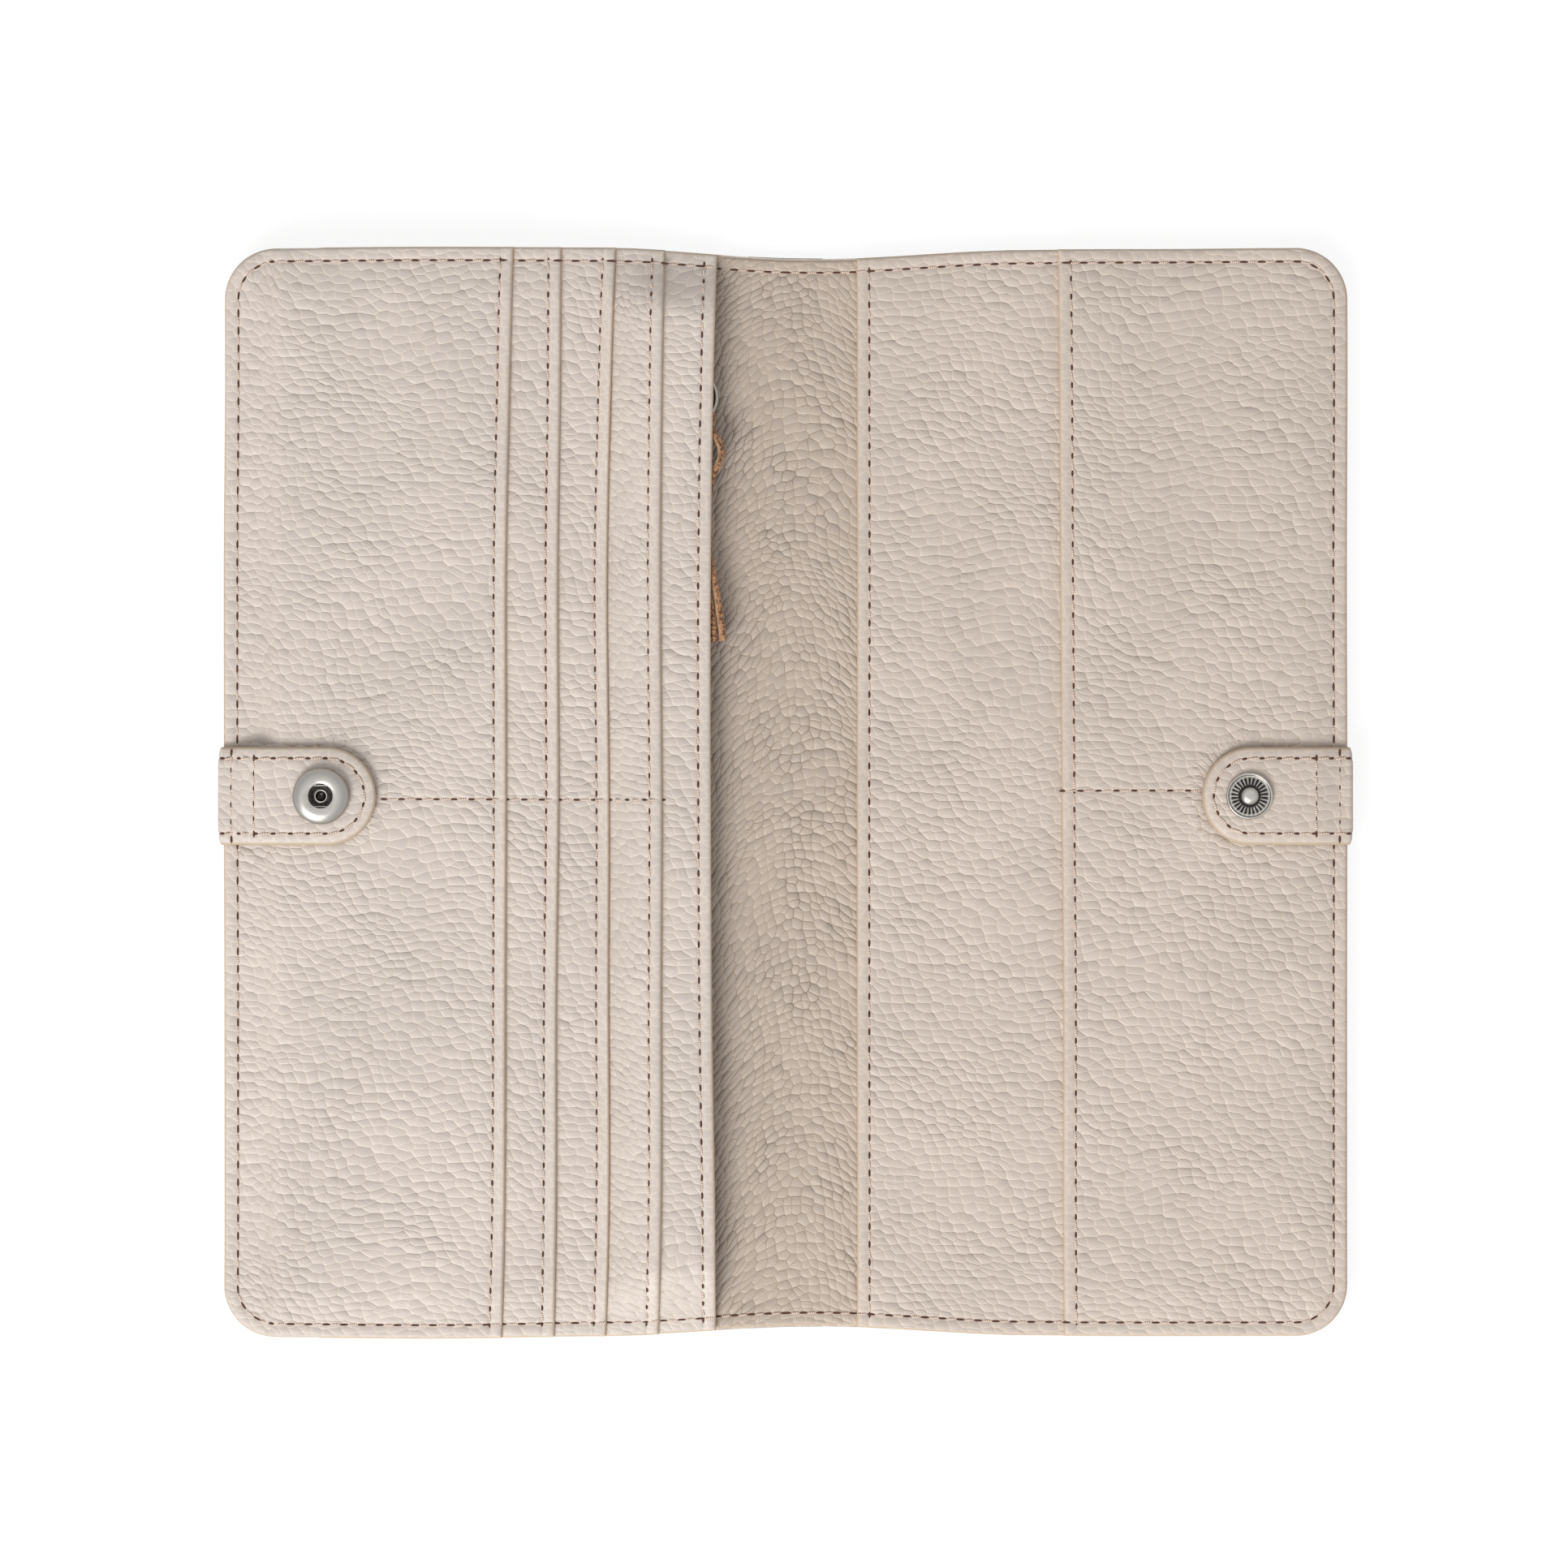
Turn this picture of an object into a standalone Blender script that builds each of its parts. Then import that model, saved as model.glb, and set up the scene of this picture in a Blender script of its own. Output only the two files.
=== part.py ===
"""A long bifold wallet, lying open on its outer leather with its inner faces up.

The spine runs along Y. The back cover lies at +X, and the front cover at -X, with its
stepped card pockets and the zipped coin pocket behind them. A short tab is turned over
each outer edge and carries one half of a press stud, so that the two halves meet face to
face when the wallet is folded shut over its two spine creases.

Lengths are in metres. +Z is up and the table is at z = 0.
"""

import math

import bmesh
import bpy
from mathutils import Matrix, Vector

# Outline of the open wallet, seen from above
HALF_WIDTH = 0.0980
HALF_HEIGHT = 0.0950
CORNER_RADIUS = 0.0090
WAIST_DEPTH = 0.0016
WAIST_CENTRE = 0.0050
WAIST_REACH = 0.0380

# Materials by thickness, and the clearances between them
SEAM_GAP = 0.0003
CREASE_GAP = 0.0003
OUTER_LEATHER = 0.0009
BOARD = 0.0005
LINING = 0.0006
PANEL_LEATHER = 0.0006
POCKET_CLOTH = 0.00025
BOARD_INSET = 0.0036
BOARD_TO_CREASE = 0.0040

# Skiving: the inner layers thin towards the rim
RIM_BAND = 0.0090
SIDE_RIM_BAND = 0.0080
RIM_SKIVE_SHARE = 0.6

# Inner edges of the panels, as distances from the middle of the spine
BACKING_EDGE = 0.0128
BACKING_TO_POCKET = 0.0087
POCKET_STEP = 0.0090
POCKET_COUNT = 4
POCKET_RAMP = 0.0030
POCKET_END_INSET = 0.0100
POCKET_END_RAMP = 0.0040
SLIP_EDGE = 0.0124
CARD_PANEL_WIDTH = 0.0500

# Coin pocket and its zip
ZIP_X = 0.0184
COIN_PANEL_TO_ZIP = 0.0038
ZIP_PARTING = 0.0009
TOOTH_REACH = 0.0013
TOOTH_ROOT_SHARE = 0.45
TOOTH_THICKNESS = 0.0010
TOOTH_PITCH = 0.0028
TAPE_THICKNESS = 0.0003
FRONT_TAPE_WIDTH = 0.0050
SPINE_TAPE_WIDTH = 0.0028
TAPE_DROP_WIDTH = 0.0014
TAPE_END = 0.0050
STOP_LENGTH = 0.0015

# Zip slider, with its bail, ring and lace
SLIDER_FROM_TOP = 0.0223
SLIDER_LENGTH = 0.0090
SLIDER_WIDTH = 0.0064
SLIDER_PLATE = 0.0004
SLIDER_CLEARANCE = 0.00025
SLIDER_LIFT = 0.00035
SLIDER_POST_WIDTH = 0.00035
SLIDER_POST_LENGTH = 0.0030
LOWEST_SLIDER_FROM_BOTTOM = 0.0597
BAIL_WIDTH = 0.0012
BAIL_OPENING = 0.0038
BAIL_LEG = 0.0005
RING_WIRE = 0.0009
RING_RADIUS = 0.0043
RING_LEAN_DEG = 28.0
LACE_ON_RING_DEG = -50.0
LACE_WIDTH = 0.0030
LACE_DOUBLED = 0.0022
LACE_NECK = 0.0026
LACE_LENGTH = 0.0392
LACE_SWAY = 0.0018
LACE_BEHIND_RING = 0.0017
LACE_EYE_CLEARANCE = 0.0004
LACE_PATH_SHARES = ((0.05, 0.74), (0.13, 0.97), (0.26, 0.72), (0.5, 0.14), (0.76, 0.55), (1.0, 1.14))

# Closing tabs
TAB_Y = -0.0006
TAB_HALF_WIDTH = 0.00855
TAB_UPPER = 0.0007
TAB_LOWER = 0.00055
TAB_ROOT_INSET = 0.0050
TAB_TURN = 0.0007
TAB_TURN_HEIGHT = 0.0014
SNAP_INSET = 0.0172
FRONT_TIP_PAST_SNAP = 0.0095
BACK_TIP_PAST_SNAP = 0.0082

# Press stud: socket on the front tab, stud on the back tab
SOCKET_RADIUS = 0.0049
SOCKET_HEIGHT = 0.0020
SOCKET_BASE = 0.0005
SOCKET_LIP = 0.0005
SOCKET_MOUTH_RADIUS = 0.00205
SOCKET_GROOVE_RADIUS = 0.0033
SOCKET_ROUND = 0.0006
SPRING_WIRE = 0.0003
SPRING_HALF_LENGTH = 0.0028
SPRING_TO_BULB = 0.00015
FLANGE_RADIUS = 0.0040
FLANGE_THICKNESS = 0.00045
EYELET_RADIUS = 0.00125
EYELET_BORE = 0.00085
STUD_RADIUS = 0.0041
STUD_PLATE = 0.0004
STUD_RIM = 0.0006
STUD_RIM_WIDTH = 0.0006
STUD_BULB_RADIUS = 0.001535
STUD_NECK_RADIUS = 0.00125
STUD_BULB_RISE = 0.0015
STUD_POST_RADIUS = 0.0006
SNAP_CLEARANCE = 0.0003

# Facets
CORNER_FACETS = 4
SNAP_FACETS = 28
RING_FACETS = 36
TAB_FACETS = 14
LACE_FACETS = 4

# Places that follow the outline
POCKET_END = HALF_WIDTH - POCKET_END_INSET
CARD_PANEL_EDGE = HALF_WIDTH - CARD_PANEL_WIDTH
TAB_ROOT = HALF_WIDTH - TAB_ROOT_INSET
SNAP_X = HALF_WIDTH - SNAP_INSET
SLIDER_Y = HALF_HEIGHT - SLIDER_FROM_TOP
SLIDER_TRAVEL = SLIDER_Y + HALF_HEIGHT - LOWEST_SLIDER_FROM_BOTTOM

# Levels of the shell
BOARD_Z = OUTER_LEATHER + SEAM_GAP
LINING_Z = BOARD_Z + BOARD + SEAM_GAP
SHELL_Z = LINING_Z + LINING

# Levels of the zip, its slider, ring and lace
SLIDER_Z = SHELL_Z + SLIDER_LIFT
TOOTH_Z = SLIDER_Z + SLIDER_PLATE + SLIDER_CLEARANCE
SLIDER_TOP_PLATE_Z = TOOTH_Z + TOOTH_THICKNESS + SLIDER_CLEARANCE
SLIDER_TOP_Z = SLIDER_TOP_PLATE_Z + SLIDER_PLATE
RING_Z = SLIDER_TOP_Z + SEAM_GAP + RING_WIRE / 2
BAIL_Z = RING_Z + RING_WIRE / 2 + SEAM_GAP
TAPE_Z = TOOTH_Z + (TOOTH_THICKNESS - TAPE_THICKNESS) / 2
CAVITY_Z = max(RING_Z + LACE_WIDTH / 2, BAIL_Z + SLIDER_PLATE) + SEAM_GAP

# Pocket edges, from the spine outwards
POCKET_EDGES = tuple(BACKING_EDGE + BACKING_TO_POCKET + POCKET_STEP * i for i in range(POCKET_COUNT))
COIN_PANEL_EDGE = ZIP_X + COIN_PANEL_TO_ZIP
CAVITY_FADE = POCKET_EDGES[1] + POCKET_RAMP
CAVITY_END = HALF_HEIGHT - RIM_BAND - POCKET_RAMP


def smooth(share):
    """The smoothstep of a share, held between 0 and 1."""
    share = min(max(share, 0.0), 1.0)
    return share * share * (3 - 2 * share)


def rim_skive(across, along):
    """How much of its thickness a layer keeps, from the spine outwards and along the spine."""
    top = smooth((abs(along) - (HALF_HEIGHT - RIM_BAND)) / RIM_BAND)
    side = smooth((across - (HALF_WIDTH - SIDE_RIM_BAND)) / SIDE_RIM_BAND)
    return 1 - (1 - RIM_SKIVE_SHARE) * max(top, side)


def panel_thickness(across, along):
    return PANEL_LEATHER * rim_skive(across, along)


def pocket_thickness(index, across, along):
    """A card pocket is leather for one step behind its edge, and lining cloth from there on."""
    cloth = smooth((across - POCKET_EDGES[index] - POCKET_STEP) / POCKET_RAMP)
    if index == POCKET_COUNT - 1:
        cloth = 0
    return max(POCKET_CLOTH, PANEL_LEATHER * rim_skive(across, along) * (1 - cloth))


def coin_panel_bottom(across, along):
    return SHELL_Z + SEAM_GAP


def backing_bottom(across, along):
    """The card backing lies on the coin pocket's panel, and arches over the zip."""
    flat = coin_panel_bottom(across, along) + panel_thickness(across, along) + SEAM_GAP
    arch = smooth((CAVITY_FADE - across) / (CAVITY_FADE - COIN_PANEL_EDGE))
    closing = smooth((HALF_HEIGHT - abs(along)) / (HALF_HEIGHT - CAVITY_END))
    return flat + (CAVITY_Z - flat) * arch * closing


def pocket_bottom(index, across, along):
    """A card pocket lies on the backing and on the pockets nearer the spine, as far as these reach."""
    level = backing_bottom(across, along) + panel_thickness(across, along) + SEAM_GAP
    below = smooth((POCKET_END + POCKET_END_RAMP - across) / POCKET_END_RAMP)
    for deeper in range(index):
        level += (pocket_thickness(deeper, across, along) + SEAM_GAP) * below
    return level


def back_panel_bottom(layer, across, along):
    """The back cover's panels are stacked on its lining, with layer counted from it."""
    return SHELL_Z + SEAM_GAP + layer * (panel_thickness(across, along) + SEAM_GAP)


TOP_POCKET = POCKET_COUNT - 1
SNAP_PLACE = (SNAP_X, TAB_Y)
FRONT_TAB_Z = (
    pocket_bottom(TOP_POCKET, *SNAP_PLACE) + pocket_thickness(TOP_POCKET, *SNAP_PLACE) + SEAM_GAP
)
BACK_TAB_Z = back_panel_bottom(1, *SNAP_PLACE) + panel_thickness(*SNAP_PLACE) + SEAM_GAP
TAB_THICKNESS = TAB_LOWER + SEAM_GAP + TAB_UPPER
SOCKET_Z = FRONT_TAB_Z + TAB_THICKNESS + SEAM_GAP
STUD_Z = BACK_TAB_Z + TAB_THICKNESS + SEAM_GAP

# The creases are set apart by what has to fit between the closed covers
SNAP_STACK = SOCKET_Z + SOCKET_HEIGHT + STUD_Z + STUD_RIM + SNAP_CLEARANCE
POCKET_STACK = FRONT_TAB_Z + BACK_TAB_Z
CAVITY_STACK = CAVITY_Z + 2 * (PANEL_LEATHER + SEAM_GAP) + back_panel_bottom(1, *SNAP_PLACE)
CREASE_X = max(SNAP_STACK, POCKET_STACK, CAVITY_STACK) / 2 - SHELL_Z

# Places of the zip pull
RING_LEAN = math.radians(RING_LEAN_DEG)
RING_CENTRE = Vector(
    (-ZIP_X + RING_RADIUS * math.sin(RING_LEAN), SLIDER_Y - RING_RADIUS * math.cos(RING_LEAN), RING_Z)
)


def half_height(x):
    """Half of the outline's height at x: the wallet is drawn in at its spine."""
    off = min(abs(x - WAIST_CENTRE) / WAIST_REACH, 1.0)
    return HALF_HEIGHT - WAIST_DEPTH * math.cos(off * math.pi / 2) ** 2


def outer_x(along, inset):
    """How far the outline reaches from the spine at this place along it, with its round corners."""
    into_corner = abs(along) - (HALF_HEIGHT - CORNER_RADIUS)
    reach = HALF_WIDTH - inset
    if into_corner <= 0:
        return reach
    return reach - CORNER_RADIUS + math.sqrt(max(CORNER_RADIUS**2 - into_corner**2, 0))


def sheet_rows():
    """Places along the spine where a sheet has a row of corners, closer in the round corners."""
    straight = HALF_HEIGHT - CORNER_RADIUS
    upper = [0.0, straight / 2, CAVITY_END, straight]
    for i in range(1, CORNER_FACETS + 1):
        upper.append(straight + CORNER_RADIUS * math.sin(math.pi / 2 * i / CORNER_FACETS))
    return [-v for v in reversed(upper[1:])] + upper


def front_columns():
    """Distances from the spine where the front cover's layers have a column of corners."""
    ramps = [edge + POCKET_STEP + POCKET_RAMP for edge in POCKET_EDGES[:-1]]
    arch = [COIN_PANEL_EDGE, (COIN_PANEL_EDGE + POCKET_EDGES[1]) / 2, (BACKING_EDGE + POCKET_EDGES[0]) / 2]
    end_ramp = [POCKET_END, POCKET_END + POCKET_END_RAMP / 2, POCKET_END + POCKET_END_RAMP]
    plain = [(POCKET_EDGES[-1] + POCKET_END) / 2, (POCKET_END + POCKET_END_RAMP + HALF_WIDTH) / 2]
    return sorted({BACKING_EDGE, HALF_WIDTH, *POCKET_EDGES, *ramps, *arch, *end_ramp, *plain})


def back_columns():
    """Distances from the spine where the back cover's layers have a column of corners."""
    side_rim = HALF_WIDTH - SIDE_RIM_BAND
    waist = WAIST_CENTRE + WAIST_REACH
    return sorted({SLIP_EDGE, (SLIP_EDGE + waist) / 2, waist, CARD_PANEL_EDGE,
                   (CARD_PANEL_EDGE + side_rim) / 2, side_rim, (side_rim + HALF_WIDTH) / 2, HALF_WIDTH})


def material(name, colour, roughness, metallic=0.0):
    made = bpy.data.materials.new(name)
    made.use_nodes = True
    shader = made.node_tree.nodes["Principled BSDF"]
    shader.inputs["Base Color"].default_value = (*colour, 1)
    shader.inputs["Roughness"].default_value = roughness
    shader.inputs["Metallic"].default_value = metallic
    return made


def add_mesh(name, points, faces, finish, carrier):
    """A new object of these points and faces, facing outwards and carried by an empty."""
    mesh = bpy.data.meshes.new(name)
    mesh.from_pydata([tuple(p) for p in points], [], faces)
    shape = bmesh.new()
    shape.from_mesh(mesh)
    bmesh.ops.recalc_face_normals(shape, faces=shape.faces)
    shape.to_mesh(mesh)
    shape.free()
    return add_object(name, mesh, finish, carrier)


def add_object(name, data, finish, carrier):
    made = bpy.data.objects.new(name, data)
    data.materials.append(finish)
    bpy.context.scene.collection.objects.link(made)
    if carrier is not None:
        made.parent = carrier
        made.matrix_parent_inverse = Matrix.Translation(carrier["place"]).inverted()
    return made


def add_carrier(name, place, parent):
    """An empty on a joint's axis, which carries all that moves with the joint."""
    made = bpy.data.objects.new(name, None)
    made["place"] = tuple(place)
    bpy.context.scene.collection.objects.link(made)
    made.location = place
    if parent is not None:
        made.parent = parent
        made.matrix_parent_inverse = Matrix.Translation(parent["place"]).inverted()
    return made


def grid_solid(name, lower, upper, finish, carrier):
    """A closed solid between two grids of points, each a list of rows."""
    rows, columns = len(lower), len(lower[0])
    points = [p for row in lower for p in row] + [p for row in upper for p in row]
    top = rows * columns
    faces = []
    for r in range(rows - 1):
        for c in range(columns - 1):
            a, b = r * columns + c, (r + 1) * columns + c
            faces.append((a, b, b + 1, a + 1))
            faces.append((top + a, top + a + 1, top + b + 1, top + b))
    rim = [c for c in range(columns)]
    rim += [r * columns + columns - 1 for r in range(1, rows)]
    rim += [(rows - 1) * columns + c for c in range(columns - 2, -1, -1)]
    rim += [r * columns for r in range(rows - 2, 0, -1)]
    for here, there in zip(rim, rim[1:] + rim[:1]):
        faces.append((here, there, top + there, top + here))
    return add_mesh(name, points, faces, finish, carrier)


def cover_sheet(name, side, columns, levels, finish, carrier, inner=0.0, reach=HALF_WIDTH, inset=0.0):
    """A layer of a cover, from its inner edge to its reach or to the outline.

    side is -1 on the front cover and 1 on the back one. Layers that lie on each other are
    made on the same columns, so that the gap between them is the same all over.
    levels gives the lower and the upper level at a column and a row.
    """
    start, full = columns[0], columns[-1]
    lower, upper = [], []
    for row in sheet_rows():
        drawn_in = (outer_x(row, inset) - start) / (full - start)
        low_row, high_row = [], []
        for column in columns:
            if column < inner or column > reach:
                continue
            x = side * (start + (column - start) * drawn_in)
            y = row * (half_height(x) - inset) / HALF_HEIGHT
            low, high = levels(column, row)
            low_row.append((x, y, low))
            high_row.append((x, y, high))
        lower.append(low_row)
        upper.append(high_row)
    return grid_solid(name, lower, upper, finish, carrier)


def spine_sheet(name, low, high, finish, carrier):
    """A strip of the shell between the two creases."""
    reach = CREASE_X - CREASE_GAP / 2
    columns = [-reach, 0.0, reach]
    lower, upper = [], []
    for row in (-HALF_HEIGHT, 0.0, HALF_HEIGHT):
        places = [(x, row * half_height(x) / HALF_HEIGHT) for x in columns]
        lower.append([(x, y, low) for x, y in places])
        upper.append([(x, y, high) for x, y in places])
    return grid_solid(name, lower, upper, finish, carrier)


def flat_levels(low, high):
    return lambda across, along: (low, high)


def prism(name, outline, low, high, finish, carrier):
    """A flat outline in x and y, carried up from one level to the other."""
    count = len(outline)
    points = [(x, y, low) for x, y in outline] + [(x, y, high) for x, y in outline]
    faces = [tuple(range(count)), tuple(range(count, 2 * count))]
    for i in range(count):
        j = (i + 1) % count
        faces.append((i, j, count + j, count + i))
    return add_mesh(name, points, faces, finish, carrier)


def side_prism(name, outline, low_y, high_y, finish, carrier):
    """A flat outline in x and z, carried along the spine's direction."""
    count = len(outline)
    points = [(x, low_y, z) for x, z in outline] + [(x, high_y, z) for x, z in outline]
    faces = [tuple(range(count)), tuple(range(count, 2 * count))]
    for i in range(count):
        j = (i + 1) % count
        faces.append((i, j, count + j, count + i))
    return add_mesh(name, points, faces, finish, carrier)


def box(name, x, y, z, finish, carrier):
    """A block between the two values given on each axis."""
    outline = [(x[0], y[0]), (x[1], y[0]), (x[1], y[1]), (x[0], y[1])]
    return prism(name, outline, z[0], z[1], finish, carrier)


def helper(made):
    made.hide_render = True
    made.display_type = "WIRE"
    return made


def combine(target, other, operation):
    """A Boolean on the target with a helper shape."""
    modifier = target.modifiers.new(operation.lower(), "BOOLEAN")
    modifier.operation = operation
    modifier.solver = "EXACT"
    modifier.object = helper(other)


def turned(name, profile, centre, finish, carrier, closed=False):
    """A profile of radius and height turned about a vertical axis through the centre.

    An open profile starts and ends on the axis. A closed one is a ring round it.
    """
    points, rings = [], []
    for radius, height in profile:
        if radius == 0:
            rings.append([len(points)])
            points.append((centre[0], centre[1], height))
            continue
        rings.append(list(range(len(points), len(points) + SNAP_FACETS)))
        for i in range(SNAP_FACETS):
            turn = 2 * math.pi * i / SNAP_FACETS
            x = centre[0] + radius * math.cos(turn)
            y = centre[1] + radius * math.sin(turn)
            points.append((x, y, height))
    pairs = list(zip(rings, rings[1:] + rings[:1])) if closed else list(zip(rings, rings[1:]))
    faces = []
    for low, high in pairs:
        for i in range(SNAP_FACETS):
            j = (i + 1) % SNAP_FACETS
            if len(low) == 1:
                faces.append((low[0], high[j], high[i]))
            elif len(high) == 1:
                faces.append((low[i], low[j], high[0]))
            else:
                faces.append((low[i], low[j], high[j], high[i]))
    made = add_mesh(name, points, faces, finish, carrier)
    made.data.shade_smooth()
    return made


def build_shell(name, side, finishes, carrier):
    """Outer leather, stiffening board and lining of one cover."""
    waist = WAIST_CENTRE + WAIST_REACH
    start = CREASE_X + CREASE_GAP / 2
    columns = [start, (start + waist) / 2, waist, HALF_WIDTH]
    stiff = [start + BOARD_TO_CREASE, (start + waist) / 2, waist, HALF_WIDTH]
    outer, board, lining = shell_levels()
    cover_sheet(name + "_outer_leather", side, columns, outer, finishes["outer"], carrier)
    cover_sheet(name + "_board", side, stiff, board, finishes["board"], carrier, inset=BOARD_INSET)
    cover_sheet(name + "_lining", side, columns, lining, finishes["lining"], carrier)


def shell_levels():
    """The levels of the outer leather, the board and the lining, which are flat."""
    layers = ((0.0, OUTER_LEATHER), (BOARD_Z, BOARD_Z + BOARD), (LINING_Z, SHELL_Z))
    return [lambda across, along, layer=layer: layer for layer in layers]


def build_spine(finishes, carrier):
    spine_sheet("spine_outer_leather", 0.0, OUTER_LEATHER, finishes["outer"], carrier)
    spine_sheet("spine_interlining", BOARD_Z, BOARD_Z + BOARD, finishes["interlining"], carrier)
    spine_sheet("spine_lining", LINING_Z, SHELL_Z, finishes["lining"], carrier)


def build_front_panels(finishes, carrier):
    """Coin pocket, card backing and the stepped card pockets of the front cover."""

    def coin_levels(across, along):
        low = coin_panel_bottom(across, along)
        return low, low + panel_thickness(across, along)

    def backing_levels(across, along):
        low = backing_bottom(across, along)
        return low, low + panel_thickness(across, along)

    columns = front_columns()
    leather = finishes["inner"]
    cover_sheet("coin_pocket_panel", -1, columns, coin_levels, finishes["lining"], carrier, COIN_PANEL_EDGE)
    cover_sheet("card_backing_panel", -1, columns, backing_levels, leather, carrier, BACKING_EDGE)
    for index, edge in enumerate(POCKET_EDGES):

        def pocket_levels(across, along, index=index):
            low = pocket_bottom(index, across, along)
            return low, low + pocket_thickness(index, across, along)

        reach = HALF_WIDTH if index == TOP_POCKET else POCKET_END
        name = f"card_pocket_{POCKET_COUNT - index}"
        cover_sheet(name, -1, columns, pocket_levels, leather, carrier, edge, reach)


def build_back_panels(finishes):
    """The full-height slip panel and the card panel of the back cover."""
    panels = (("bill_slip_panel", 0, SLIP_EDGE), ("back_card_panel", 1, CARD_PANEL_EDGE))
    for name, layer, edge in panels:

        def panel_levels(across, along, layer=layer):
            low = back_panel_bottom(layer, across, along)
            return low, low + panel_thickness(across, along)

        cover_sheet(name, 1, back_columns(), panel_levels, finishes["inner_back"], None, edge)


def zip_top():
    return SLIDER_Y + SLIDER_LENGTH / 2 + SEAM_GAP


def zip_bottom():
    return SLIDER_Y - SLIDER_LENGTH / 2 - SLIDER_TRAVEL - SEAM_GAP


def comb_outline(side):
    """One half of the zip's chain from above: a spine with teeth towards the other half."""
    near = -ZIP_X + side * ZIP_PARTING / 2
    far = -ZIP_X + side * (ZIP_PARTING / 2 + TOOTH_REACH)
    root = far - side * TOOTH_REACH * TOOTH_ROOT_SHARE
    length = zip_top() - zip_bottom()
    count = int(length / TOOTH_PITCH)
    pitch = length / count
    outline = [(far, zip_top()), (far, zip_bottom())]
    for i in range(count):
        start = zip_bottom() + pitch * i
        outline += [(near, start), (near, start + pitch / 2), (root, start + pitch / 2)]
        if i < count - 1:
            outline.append((root, start + pitch))
    outline.append((root, zip_top()))
    return outline


def build_zip(finishes, carrier):
    """Tapes, chain and stops of the coin pocket's zip, which lies parted in its middle for the slider."""
    chain_side = ZIP_PARTING / 2 + TOOTH_REACH
    low, high = zip_bottom() - TAPE_END, zip_top() + TAPE_END
    start = -ZIP_X - chain_side - SEAM_GAP
    end = start - FRONT_TAPE_WIDTH
    tape = [(start, TAPE_Z), (end, TAPE_Z), (end, TAPE_Z + TAPE_THICKNESS), (start, TAPE_Z + TAPE_THICKNESS)]
    side_prism("zip_tape_front", tape, low, high, finishes["tape"], carrier)
    start = -ZIP_X + chain_side + SEAM_GAP
    end = start + SPINE_TAPE_WIDTH
    bend = end - TAPE_DROP_WIDTH
    rest = SHELL_Z + SEAM_GAP
    tape = [(start, TAPE_Z), (bend, TAPE_Z), (end, rest), (end, rest + TAPE_THICKNESS)]
    tape += [(bend, TAPE_Z + TAPE_THICKNESS), (start, TAPE_Z + TAPE_THICKNESS)]
    side_prism("zip_tape_spine", tape, low, high, finishes["tape"], carrier)
    for side, name in ((-1, "front"), (1, "spine")):
        levels = (TOOTH_Z, TOOTH_Z + TOOTH_THICKNESS)
        prism("zip_teeth_" + name, comb_outline(side), *levels, finishes["zip_metal"], carrier)
        edges = sorted((-ZIP_X + side * ZIP_PARTING / 2, -ZIP_X + side * chain_side))
        place = (zip_top() + SEAM_GAP, zip_top() + SEAM_GAP + STOP_LENGTH)
        box("zip_top_stop_" + name, edges, place, levels, finishes["zip_metal"], carrier)
    place = (zip_bottom() - SEAM_GAP - STOP_LENGTH, zip_bottom() - SEAM_GAP)
    edges = (-ZIP_X - chain_side, -ZIP_X + chain_side)
    box("zip_bottom_stop", edges, place, levels, finishes["zip_metal"], carrier)


def build_slider(finishes, carrier):
    """The slider: two plates on a post, and a bail over the upper plate."""
    x = (-ZIP_X - SLIDER_WIDTH / 2, -ZIP_X + SLIDER_WIDTH / 2)
    y = (SLIDER_Y - SLIDER_LENGTH / 2, SLIDER_Y + SLIDER_LENGTH / 2)
    metal = finishes["zip_metal"]
    into = SLIDER_PLATE / 2
    slider = box("zip_slider", x, y, (SLIDER_TOP_PLATE_Z, SLIDER_TOP_Z), metal, carrier)
    base = box("slider_base", x, y, (SLIDER_Z, SLIDER_Z + SLIDER_PLATE), metal, carrier)
    post_x = (-ZIP_X - SLIDER_POST_WIDTH / 2, -ZIP_X + SLIDER_POST_WIDTH / 2)
    post_y = (y[1] - SLIDER_POST_LENGTH - into, y[1] - into)
    post = box("slider_post", post_x, post_y, (SLIDER_Z + into, SLIDER_TOP_Z - into), metal, carrier)
    bail_x = (-ZIP_X - BAIL_WIDTH / 2, -ZIP_X + BAIL_WIDTH / 2)
    ends = (SLIDER_Y - BAIL_OPENING / 2 - BAIL_LEG, SLIDER_Y + BAIL_OPENING / 2 + BAIL_LEG)
    inner = (SLIDER_Y - BAIL_OPENING / 2, SLIDER_Y + BAIL_OPENING / 2)
    foot, crown = SLIDER_TOP_Z - into, BAIL_Z + SLIDER_PLATE
    arch = [(ends[0], foot), (ends[0], crown), (ends[1], crown), (ends[1], foot)]
    arch += [(inner[1], foot), (inner[1], BAIL_Z), (inner[0], BAIL_Z), (inner[0], foot)]
    points = [(bail_x[0], p, z) for p, z in arch] + [(bail_x[1], p, z) for p, z in arch]
    count = len(arch)
    faces = [tuple(range(count)), tuple(range(count, 2 * count))]
    faces += [(i, (i + 1) % count, count + (i + 1) % count, count + i) for i in range(count)]
    bail = add_mesh("slider_bail", points, faces, metal, carrier)
    for piece in (base, post, bail):
        combine(slider, piece, "UNION")


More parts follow.
